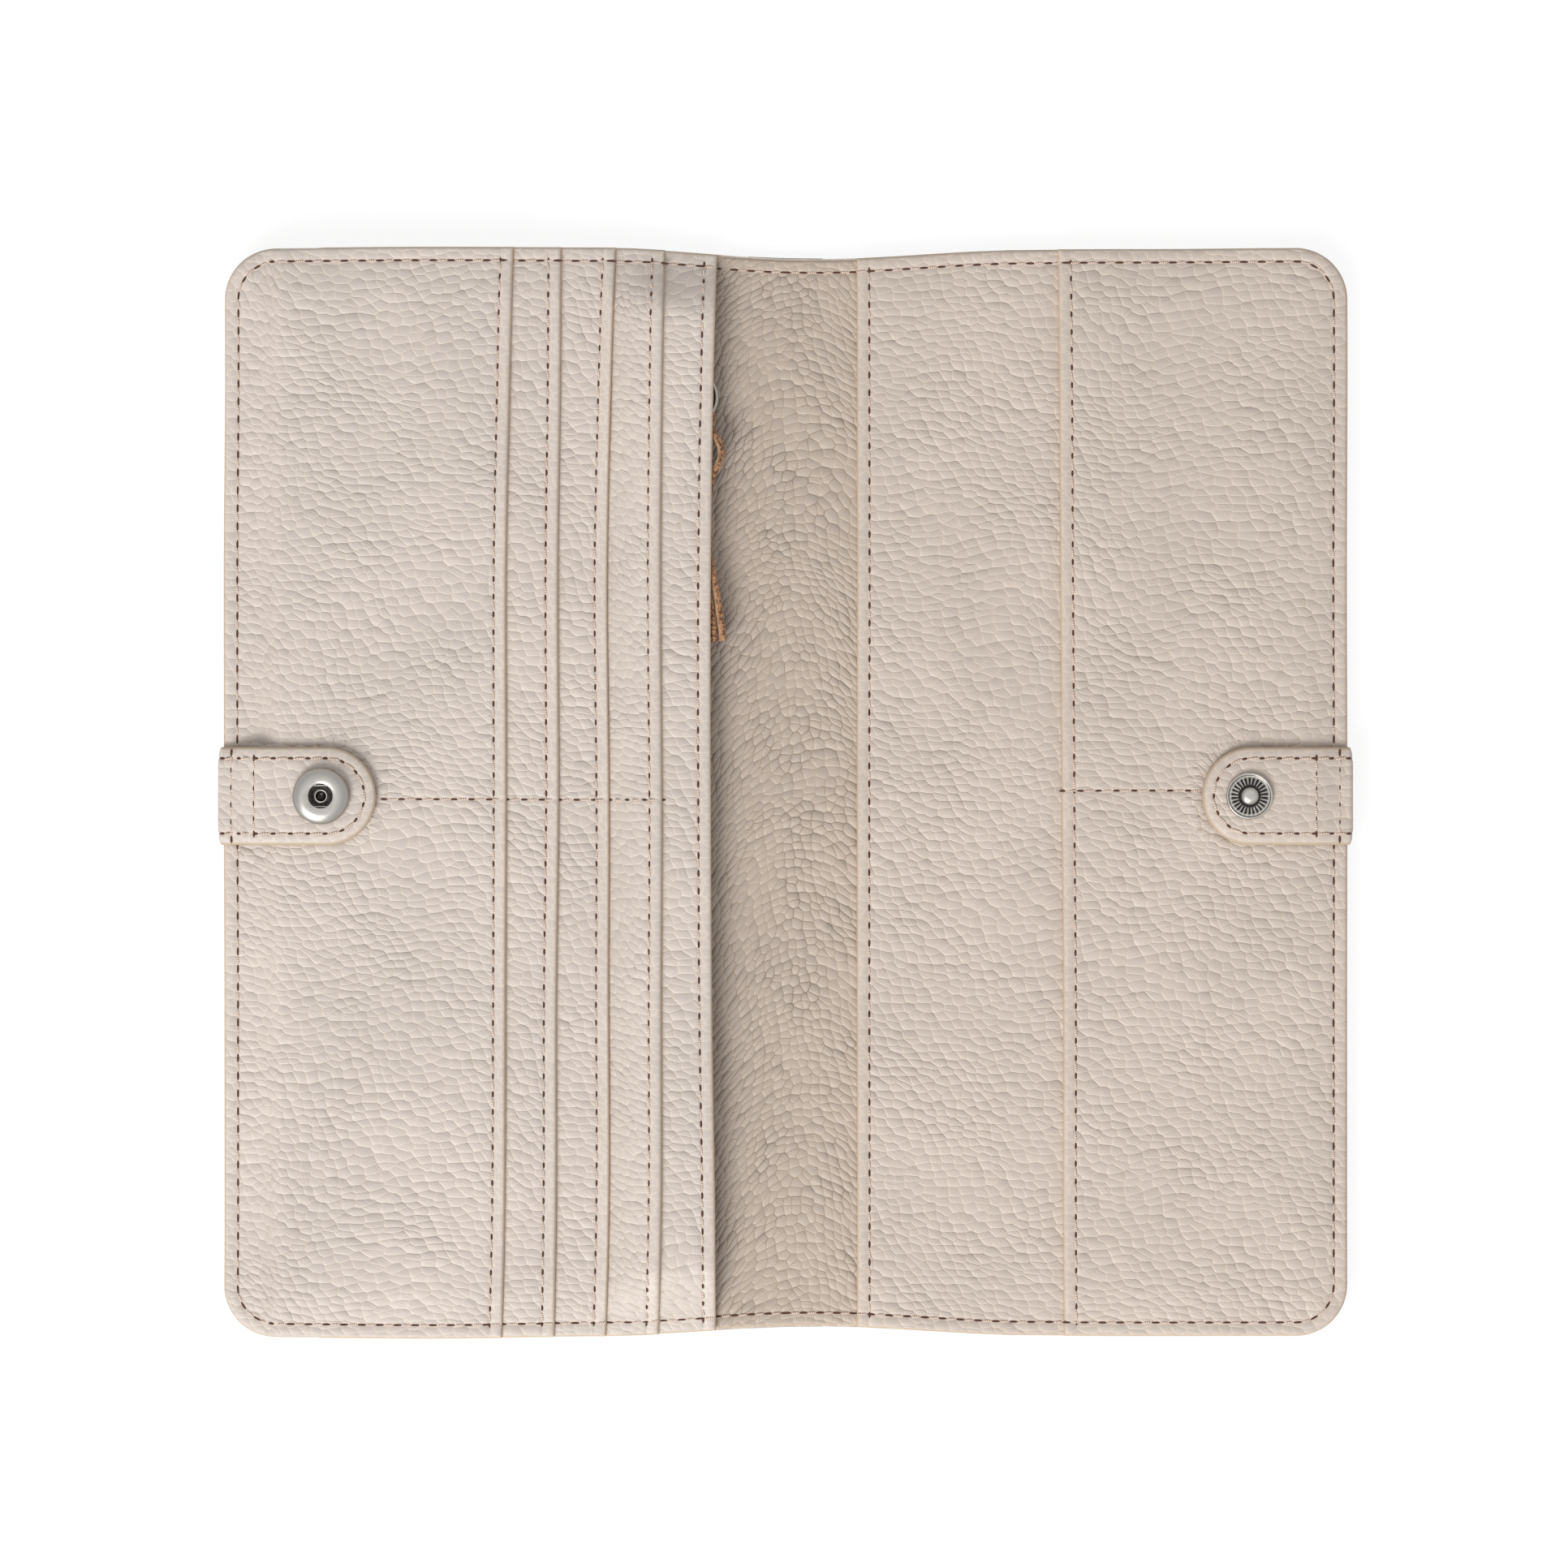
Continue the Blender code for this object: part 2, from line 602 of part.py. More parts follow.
def build_ring(finishes, carrier):
    """The pull ring lies flat, and its wire passes under the bail."""
    curve = bpy.data.curves.new("pull_ring", "CURVE")
    curve.dimensions = "3D"
    curve.bevel_depth = RING_WIRE / 2
    curve.bevel_resolution = 2
    path = curve.splines.new("POLY")
    path.points.add(RING_FACETS - 1)
    for i, point in enumerate(path.points):
        turn = 2 * math.pi * i / RING_FACETS
        x = RING_CENTRE.x + RING_RADIUS * math.cos(turn)
        y = RING_CENTRE.y + RING_RADIUS * math.sin(turn)
        point.co = (x, y, RING_Z, 1)
    path.use_cyclic_u = True
    add_object("pull_ring", curve, finishes["zip_metal"], carrier)


def lace_path():
    """Points along the doubled lace, from behind the ring's wire to its cut ends."""
    turn = math.radians(LACE_ON_RING_DEG)
    outwards = Vector((math.cos(turn), math.sin(turn)))
    eye = RING_CENTRE.xy + outwards * RING_RADIUS
    points = [eye - outwards * LACE_BEHIND_RING, eye]
    for down, aside in LACE_PATH_SHARES:
        points.append(eye + Vector((LACE_SWAY * aside, -LACE_LENGTH * down)))
    path = []
    for i in range(1, len(points) - 1):
        before, here, there = points[i - 1], points[i], points[i + 1]
        after = points[min(i + 2, len(points) - 1)]
        for step in range(LACE_FACETS):
            s = step / LACE_FACETS
            bend = (there - before) * s + (2 * before - 5 * here + 4 * there - after) * s**2
            bend += (3 * here - before - 3 * there + after) * s**3
            path.append(here + bend / 2)
    return [points[0]] + path + [points[-1]], eye, outwards


def build_lace(finishes, carrier):
    """The leather lace, doubled round the ring's wire and standing on its edge."""
    path, eye, outwards = lace_path()
    lower, upper = [], []
    for i, place in enumerate(path):
        along = (path[min(i + 1, len(path) - 1)] - path[max(i - 1, 0)]).normalized()
        across = Vector((-along.y, along.x))
        half = LACE_NECK / 2 + (LACE_DOUBLED - LACE_NECK) / 2 * smooth(i / LACE_FACETS / 2)
        sides = [place + across * half, place - across * half]
        lower.append([(p.x, p.y, RING_Z - LACE_WIDTH / 2) for p in sides])
        upper.append([(p.x, p.y, RING_Z + LACE_WIDTH / 2) for p in sides])
    lace = grid_solid("pull_lace", lower, upper, finishes["lace"], carrier)
    wire = Vector((-outwards.y, outwards.x))
    radius = RING_WIRE / 2 + LACE_EYE_CLEARANCE
    points = []
    for end in (-1, 1):
        for i in range(TAB_FACETS):
            turn = 2 * math.pi * i / TAB_FACETS
            spot = eye + wire * end * LACE_NECK + outwards * radius * math.cos(turn)
            points.append((spot.x, spot.y, RING_Z + radius * math.sin(turn)))
    faces = [tuple(range(TAB_FACETS)), tuple(range(TAB_FACETS, 2 * TAB_FACETS))]
    for i in range(TAB_FACETS):
        j = (i + 1) % TAB_FACETS
        faces.append((i, j, TAB_FACETS + j, TAB_FACETS + i))
    combine(lace, add_mesh("lace_eye", points, faces, finishes["lace"], carrier), "DIFFERENCE")


def tab_outline(side, tip):
    """A tab from above: straight sides from its root to a round end."""
    root = TAB_ROOT - SEAM_GAP / 2
    centre = tip + TAB_HALF_WIDTH
    outline = [(side * root, TAB_Y - TAB_HALF_WIDTH)]
    for i in range(TAB_FACETS + 1):
        turn = math.pi * i / TAB_FACETS
        x = side * (centre - TAB_HALF_WIDTH * math.sin(turn))
        outline.append((x, TAB_Y - TAB_HALF_WIDTH * math.cos(turn)))
    outline.append((side * root, TAB_Y + TAB_HALF_WIDTH))
    return outline


def build_tab(name, side, tip, level, hole, finish, carrier):
    """The two plies of a tab, with the holes that the press stud's parts pass through."""
    centre = (side * SNAP_X, TAB_Y)
    outline = tab_outline(side, tip)
    upper_z = level + TAB_LOWER + SEAM_GAP
    plies = (
        ("_lower_ply", level, TAB_LOWER, FLANGE_RADIUS + SEAM_GAP),
        ("_upper_ply", upper_z, TAB_UPPER, hole),
    )
    for ply, low, thickness, radius in plies:
        made = prism(name + ply, outline, low, low + thickness, finish, carrier)
        profile = [(0, low - thickness), (radius, low - thickness)]
        profile += [(radius, low + 2 * thickness), (0, low + 2 * thickness)]
        combine(made, turned(name + ply + "_hole", profile, centre, finish, carrier), "DIFFERENCE")


def build_tab_turn(name, side, level, rim_level, finish, carrier):
    """The part of a tab that is turned over the cover's edge and sewn into its seam."""
    outer = HALF_WIDTH + SEAM_GAP + TAB_TURN
    face = HALF_WIDTH + SEAM_GAP
    inner = HALF_WIDTH - BOARD_INSET + SEAM_GAP
    root = TAB_ROOT + SEAM_GAP / 2
    outline = [
        (side * inner, BOARD_Z),
        (side * outer, BOARD_Z),
        (side * outer, rim_level + TAB_TURN_HEIGHT),
        (side * root, level + TAB_THICKNESS),
        (side * root, level),
        (side * face, rim_level),
        (side * face, BOARD_Z + BOARD),
        (side * inner, BOARD_Z + BOARD),
    ]
    side_prism(name, outline, TAB_Y - TAB_HALF_WIDTH, TAB_Y + TAB_HALF_WIDTH, finish, carrier)


def build_socket(finishes, carrier):
    """Socket, its spring and the eyelet that clenches it to the front tab."""
    centre = (-SNAP_X, TAB_Y)
    top = SOCKET_Z + SOCKET_HEIGHT
    base = SOCKET_Z + SOCKET_BASE
    lip = top - SOCKET_LIP
    hole = EYELET_RADIUS + SEAM_GAP
    profile = [
        (hole, SOCKET_Z),
        (SOCKET_RADIUS - SOCKET_ROUND / 2, SOCKET_Z),
        (SOCKET_RADIUS, SOCKET_Z + SOCKET_ROUND),
        (SOCKET_RADIUS, top - SOCKET_ROUND),
        (SOCKET_RADIUS - SOCKET_ROUND, top),
        (SOCKET_MOUTH_RADIUS, top),
        (SOCKET_MOUTH_RADIUS, lip),
        (SOCKET_GROOVE_RADIUS, lip),
        (SOCKET_GROOVE_RADIUS, base),
        (hole, base),
    ]
    turned("socket_body", profile, centre, finishes["snap_metal"], carrier, closed=True)
    build_socket_spring(centre, (base + lip) / 2, finishes, carrier)
    floor = FRONT_TAB_Z + FLANGE_THICKNESS
    profile = [
        (0, FRONT_TAB_Z),
        (FLANGE_RADIUS, FRONT_TAB_Z),
        (FLANGE_RADIUS, floor),
        (EYELET_RADIUS, floor),
        (EYELET_RADIUS, base),
        (EYELET_BORE, base),
        (EYELET_BORE, floor),
        (0, floor),
    ]
    turned("socket_eyelet", profile, centre, finishes["snap_metal"], carrier)


def build_socket_spring(centre, level, finishes, carrier):
    """A closed loop of wire, whose two long runs hold the stud's bulb between them."""
    run = STUD_BULB_RADIUS + SPRING_TO_BULB + SPRING_WIRE / 2
    curve = bpy.data.curves.new("socket_spring", "CURVE")
    curve.dimensions = "3D"
    curve.bevel_depth = SPRING_WIRE / 2
    curve.bevel_resolution = 1
    half = SPRING_HALF_LENGTH
    corner = half - run / 2
    places = [(-corner, -run), (corner, -run), (half, -run / 2), (half, run / 2)]
    places += [(corner, run), (-corner, run), (-half, run / 2), (-half, -run / 2)]
    path = curve.splines.new("POLY")
    path.points.add(len(places) - 1)
    for point, (x, y) in zip(path.points, places):
        point.co = (centre[0] + x, centre[1] + y, level, 1)
    path.use_cyclic_u = True
    add_object("socket_spring", curve, finishes["snap_metal"], carrier)


def build_stud(finishes, carrier):
    """Stud with its rolled rim and bulb, and the post that clenches it to the back tab."""
    centre = (SNAP_X, TAB_Y)
    dish = STUD_Z + STUD_PLATE
    tip = STUD_Z + STUD_RIM + STUD_BULB_RISE
    bulb = (dish + tip) / 2
    bore = STUD_POST_RADIUS + SEAM_GAP
    profile = [(0, tip), (STUD_BULB_RADIUS * math.cos(math.pi / 4), tip)]
    profile += [(STUD_BULB_RADIUS, (bulb + tip) / 2), (STUD_BULB_RADIUS, bulb), (STUD_NECK_RADIUS, dish)]
    profile += [
        (STUD_RADIUS - STUD_RIM_WIDTH, dish),
        (STUD_RADIUS - STUD_RIM_WIDTH / 2, STUD_Z + STUD_RIM),
        (STUD_RADIUS, dish),
        (STUD_RADIUS, STUD_Z),
        (bore, STUD_Z),
        (bore, bulb),
        (0, bulb),
    ]
    turned("stud_body", profile, centre, finishes["snap_metal"], carrier)
    flange = BACK_TAB_Z + FLANGE_THICKNESS
    profile = [(0, BACK_TAB_Z), (FLANGE_RADIUS, BACK_TAB_Z), (FLANGE_RADIUS, flange)]
    profile += [(STUD_POST_RADIUS, flange), (STUD_POST_RADIUS, bulb - SEAM_GAP), (0, bulb - SEAM_GAP)]
    turned("stud_post", profile, centre, finishes["snap_metal"], carrier)


def make_finishes():
    return {
        "outer": material("outer_leather", (0.60, 0.52, 0.45), 0.55),
        "lining": material("lining_leather", (0.58, 0.51, 0.44), 0.55),
        "inner": material("inner_leather", (0.66, 0.59, 0.53), 0.5),
        "inner_back": material("inner_leather_back", (0.62, 0.54, 0.48), 0.5),
        "board": material("board", (0.45, 0.40, 0.35), 0.9),
        "interlining": material("interlining", (0.52, 0.49, 0.45), 0.9),
        "tape": material("zip_tape", (0.50, 0.44, 0.37), 0.85),
        "zip_metal": material("zip_metal", (0.62, 0.61, 0.58), 0.35, 1.0),
        "lace": material("suede_lace", (0.42, 0.25, 0.14), 0.95),
        "snap_metal": material("snap_metal", (0.56, 0.54, 0.50), 0.3, 1.0),
    }


def main():
    for old in list(bpy.data.objects):
        bpy.data.objects.remove(old)
    finishes = make_finishes()
    spine = add_carrier("spine_on_back_crease", (CREASE_X, 0.0, SHELL_Z), None)
    front = add_carrier("front_on_spine_crease", (-CREASE_X, 0.0, SHELL_Z), spine)
    front_flex = (-TAB_ROOT, TAB_Y, FRONT_TAB_Z + TAB_THICKNESS)
    back_flex = (TAB_ROOT, TAB_Y, BACK_TAB_Z + TAB_THICKNESS)
    front_tab = add_carrier("front_tab_flex_line", front_flex, front)
    back_tab = add_carrier("back_tab_flex_line", back_flex, None)
    slider = add_carrier("slider_path", (-ZIP_X, SLIDER_Y, TAPE_Z), front)
    ring = add_carrier("ring_in_bail", (-ZIP_X, SLIDER_Y, RING_Z), slider)
    lace = add_carrier("lace_round_ring", RING_CENTRE, ring)
    build_shell("back", 1, finishes, None)
    build_back_panels(finishes)
    build_spine(finishes, spine)
    build_shell("front", -1, finishes, front)
    build_front_panels(finishes, front)
    build_zip(finishes, front)
    build_slider(finishes, slider)
    build_ring(finishes, ring)
    build_lace(finishes, lace)
    front_rim = pocket_bottom(0, HALF_WIDTH, 0.0) + panel_thickness(HALF_WIDTH, 0.0) + SEAM_GAP
    back_rim = back_panel_bottom(1, HALF_WIDTH, 0.0) + panel_thickness(HALF_WIDTH, 0.0) + SEAM_GAP
    front_tip = SNAP_X - FRONT_TIP_PAST_SNAP
    back_tip = SNAP_X - BACK_TIP_PAST_SNAP
    front_hole = EYELET_RADIUS + SEAM_GAP
    back_hole = STUD_POST_RADIUS + SEAM_GAP
    leather, back_leather = finishes["inner"], finishes["inner_back"]
    build_tab_turn("front_tab_turn", -1, FRONT_TAB_Z, front_rim, leather, front)
    build_tab("front_tab", -1, front_tip, FRONT_TAB_Z, front_hole, leather, front_tab)
    build_tab_turn("back_tab_turn", 1, BACK_TAB_Z, back_rim, back_leather, None)
    build_tab("back_tab", 1, back_tip, BACK_TAB_Z, back_hole, back_leather, back_tab)
    build_socket(finishes, front_tab)
    build_stud(finishes, back_tab)


main()
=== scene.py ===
"""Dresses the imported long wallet: pebbled leather, sewn edges, press stud, zip pull and suede lace.

Lengths are in metres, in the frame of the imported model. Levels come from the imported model's
boxes. A layer of leather is a surface of two parameters, across the cover and along the spine.
Its height is the layer's level, plus the roll of its turned edge, minus the furrow of its
seams, plus the pebble grain.
"""

import logging
import math
from dataclasses import dataclass, replace
from enum import Enum
from typing import Callable, ClassVar, Sequence

import bpy
import numpy as np
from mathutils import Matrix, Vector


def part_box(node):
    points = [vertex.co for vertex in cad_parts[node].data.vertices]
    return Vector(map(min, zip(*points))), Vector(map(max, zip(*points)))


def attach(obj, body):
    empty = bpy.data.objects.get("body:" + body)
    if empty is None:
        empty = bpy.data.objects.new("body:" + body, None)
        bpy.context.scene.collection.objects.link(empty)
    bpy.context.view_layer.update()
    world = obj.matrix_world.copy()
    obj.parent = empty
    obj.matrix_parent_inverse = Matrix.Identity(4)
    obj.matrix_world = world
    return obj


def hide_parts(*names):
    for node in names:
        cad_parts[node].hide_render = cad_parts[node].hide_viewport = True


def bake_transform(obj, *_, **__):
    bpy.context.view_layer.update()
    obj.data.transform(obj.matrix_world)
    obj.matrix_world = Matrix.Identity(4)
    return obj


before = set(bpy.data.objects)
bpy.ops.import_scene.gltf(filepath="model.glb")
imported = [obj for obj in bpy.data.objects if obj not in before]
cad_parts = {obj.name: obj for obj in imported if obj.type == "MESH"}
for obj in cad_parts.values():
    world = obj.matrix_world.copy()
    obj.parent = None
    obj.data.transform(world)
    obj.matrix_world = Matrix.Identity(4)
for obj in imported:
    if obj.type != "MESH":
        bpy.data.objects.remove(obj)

LOG = logging.getLogger("wallet")
Array = np.ndarray
Level = Callable[[Array, Array], Array]
Ride = Callable[[bpy.types.Object], bpy.types.Object]
Input = float | Sequence[float] | bpy.types.NodeSocket


class Side(Enum):
    """The two covers, by the sign of x."""

    FRONT = -1
    BACK = 1

    @property
    def word(self) -> str:
        """The side's word in the names of nodes and pieces."""
        return self.name.lower()

    @property
    def cover(self) -> str:
        """The body of the side's cover."""
        return self.word + "_cover"


def smooth(share: Array) -> Array:
    """Ease a share: 3 s squared minus 2 s cubed, held between 0 and 1."""
    held = np.clip(share, 0.0, 1.0)
    return held * held * (3 - 2 * held)


def bell(distance: Array, width: float) -> Array:
    """A bump of height 1 round distance 0: e to the minus square of distance over width."""
    return np.exp(-((distance / width) ** 2))


def scatter(i: Array, j: Array, seed: float) -> Array:
    """A steady number from 0 to 1 for each cell: the fraction of a large sine."""
    return np.modf(np.abs(np.sin(i * 127.1 + j * 311.7 + seed * 74.7) * 43758.5453))[0]


def drift(x: Array, y: Array, size: float, seed: float) -> Array:
    """Low hills from -1 to 1: random corner values of square cells, eased between the corners."""
    u, w = x / size, y / size
    i, j = np.floor(u), np.floor(w)
    across, along = smooth(u - i), smooth(w - j)
    low = scatter(i, j, seed) * (1 - across) + scatter(i + 1, j, seed) * across
    high = scatter(i, j + 1, seed) * (1 - across) + scatter(i + 1, j + 1, seed) * across
    return 2 * (low * (1 - along) + high * along) - 1


def grid_quads(rows: int, columns: int, start: int = 0, ring: bool = False) -> Array:
    """Quads of a grid of points, counted row by row.

    Args:
        rows: number of rows.
        columns: number of points in a row.
        start: number of the first point.
        ring: whether each row closes on itself.
    Returns:
        One row of four point numbers for each quad, anticlockwise seen from the side
        where columns run right and rows run up.
    """
    row = np.arange(rows - 1)[:, None] * columns
    column = np.arange(columns if ring else columns - 1)[None, :]
    after = (column + 1) % columns
    quads = np.stack([row + column, row + after, row + columns + after, row + columns + column], -1)
    return quads.reshape(-1, 4) + start


def make_piece(name: str, points: Array, polygons: Sequence[Array], **marks: Array) -> bpy.types.Object:
    """Make a mesh object at the origin.

    Args:
        name: the piece's name.
        points: places of its points.
        polygons: arrays of point numbers, each array with polygons of one size.
        marks: a number for each point, kept as an attribute of that name.
    Returns:
        The new object, smooth shaded and linked to the scene.
    """
    points = points.reshape(-1, 3)
    sizes = np.concatenate([np.full(len(p), p.shape[1]) for p in polygons])
    corners = np.concatenate([p.ravel() for p in polygons]).astype(np.int32)
    mesh = bpy.data.meshes.new(name)
    mesh.vertices.add(len(points))
    mesh.vertices.foreach_set("co", points.astype(np.float32).ravel())
    mesh.loops.add(len(corners))
    mesh.loops.foreach_set("vertex_index", corners)
    mesh.polygons.add(len(sizes))
    mesh.polygons.foreach_set("loop_start", np.concatenate([[0], np.cumsum(sizes)[:-1]]).astype(np.int32))
    mesh.update(calc_edges=True)
    mesh.validate()
    for mark, values in marks.items():
        attribute = mesh.attributes.new(mark, "FLOAT", "POINT")
        attribute.data.foreach_set("value", values.astype(np.float32).ravel())
    mesh.shade_smooth()
    made = bpy.data.objects.new(name, mesh)
    bpy.context.scene.collection.objects.link(made)
    LOG.info("%s: %d points, %d faces", name, len(points), len(sizes))
    return made


def dress(piece: bpy.types.Object, finish: "Finish", *nodes: str) -> bpy.types.Object:
    """Give a piece its finish's material, and hide the nodes that it stands for."""
    piece.data.materials.append(finish.material())
    if nodes:
        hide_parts(*nodes)
    return piece


class Shader:
    """A material's node tree, with short calls for the nodes that the finishes share."""

    def __init__(self, name: str, tree: bpy.types.NodeTree | None = None) -> None:
        """Start a material with one Principled shader, or go on in the tree that is given."""
        self.tree = tree
        if tree is None:
            self.made = bpy.data.materials.new(name)
            self.made.use_nodes = True
            self.tree = self.made.node_tree
            self.surface = self.tree.nodes["Principled BSDF"]

    def node(self, kind: str, inputs: dict[str | int, Input], **settings: object) -> bpy.types.Node:
        """Add a node, with its settings and its inputs as values or as links.

        Args:
            kind: the node's type, without its ShaderNode prefix.
            inputs: a value or an output socket for each input, by name or number.
            settings: the node's own settings.
        Returns:
            The node.
        """
        made = self.tree.nodes.new("ShaderNode" + kind)
        for setting, value in settings.items():
            setattr(made, setting, value)
        for socket, value in inputs.items():
            self.put(made.inputs[socket], value)
        return made

    def put(self, socket: bpy.types.NodeSocket, value: Input) -> None:
        """Link an output socket to an input, or set the input's own value."""
        if isinstance(value, bpy.types.NodeSocket):
            self.tree.links.new(value, socket)
        else:
            socket.default_value = value

    def math(
        self, operation: str, first: Input, second: Input = 0.0, third: Input = 0.0
    ) -> bpy.types.NodeSocket:
        """A Math node's result."""
        return self.node("Math", {0: first, 1: second, 2: third}, operation=operation).outputs[0]

    def mark(self, name: str) -> bpy.types.NodeSocket:
        """The value of a point attribute."""
        return self.node("Attribute", {}, attribute_name=name).outputs["Fac"]

    def place(self) -> bpy.types.NodeSocket:
        """Object coordinates."""
        return self.node("TexCoord", {}).outputs["Object"]

    def span(
        self, value: Input, low: float, high: float, first: Input = 0.0, last: Input = 1.0
    ) -> bpy.types.NodeSocket:
        """Map low to first and high to last, eased between them."""
        inputs = {"Value": value, "From Min": low, "From Max": high, "To Min": first, "To Max": last}
        return self.node("MapRange", inputs, interpolation_type="SMOOTHSTEP").outputs["Result"]

    def mix(self, share: Input, first: Input, second: Input) -> bpy.types.NodeSocket:
        """Mix two colours by a share."""
        made = self.node("Mix", {0: share}, data_type="RGBA")
        self.put(made.inputs[6], first)
        self.put(made.inputs[7], second)
        return made.outputs[2]

    def noise(
        self, scale: float, detail: float = 2.0, where: bpy.types.NodeSocket | None = None
    ) -> bpy.types.NodeSocket:
        """Noise from 0 to 1 in object coordinates, with features of about one over scale metres."""
        inputs = {"Vector": where or self.place(), "Scale": scale, "Detail": detail}
        return self.node("TexNoise", inputs).outputs["Fac"]

    def push(self, where: bpy.types.NodeSocket, scale: float, amount: float) -> bpy.types.NodeSocket:
        """Push places about: amount times the noise's colour less a half."""
        colour = self.node("TexNoise", {"Vector": where, "Scale": scale, "Detail": 1.0}).outputs["Color"]
        off = self.node("VectorMath", {0: colour, 1: (0.5, 0.5, 0.5)}, operation="SUBTRACT").outputs[0]
        off = self.node("VectorMath", {0: off, "Scale": amount}, operation="SCALE").outputs[0]
        return self.node("VectorMath", {0: where, 1: off}, operation="ADD").outputs[0]

    def bump(
        self, height: Input, distance: float, under: bpy.types.NodeSocket | None = None
    ) -> bpy.types.NodeSocket:
        """A bump of this height on the surface, or on another bump."""
        inputs = {"Height": height, "Distance": distance, "Strength": 1.0}
        if under is not None:
            inputs["Normal"] = under
        return self.node("Bump", inputs).outputs["Normal"]

    def finish(self, **inputs: Input) -> bpy.types.Material:
        """Set the Principled shader's inputs and give the material."""
        for socket, value in inputs.items():
            self.put(self.surface.inputs[socket.replace("_", " ").title().replace("Ior", "IOR")], value)
        return self.made


def paint(red: int, green: int, blue: int) -> tuple[float, float, float, float]:
    """A colour given as screen values from 0 to 255, as the linear values a shader takes."""
    values = [v / 255 for v in (red, green, blue)]
    linear = [v / 12.92 if v <= 0.04045 else ((v + 0.055) / 1.055) ** 2.4 for v in values]
    return (*linear, 1.0)


class Finish:
    """What every finish has: a slot name, and a material that is made once."""

    name: str
    slot: str
    made: ClassVar[dict[str, bpy.types.Material]] = {}

    def material(self) -> bpy.types.Material:
        """The finish's material, made at its first use."""
        if self.name not in Finish.made:
            Finish.made[self.name] = self.build(Shader(self.name))
        return Finish.made[self.name]

    def build(self, shader: Shader) -> bpy.types.Material:
        """Build the material's nodes."""
        raise NotImplementedError


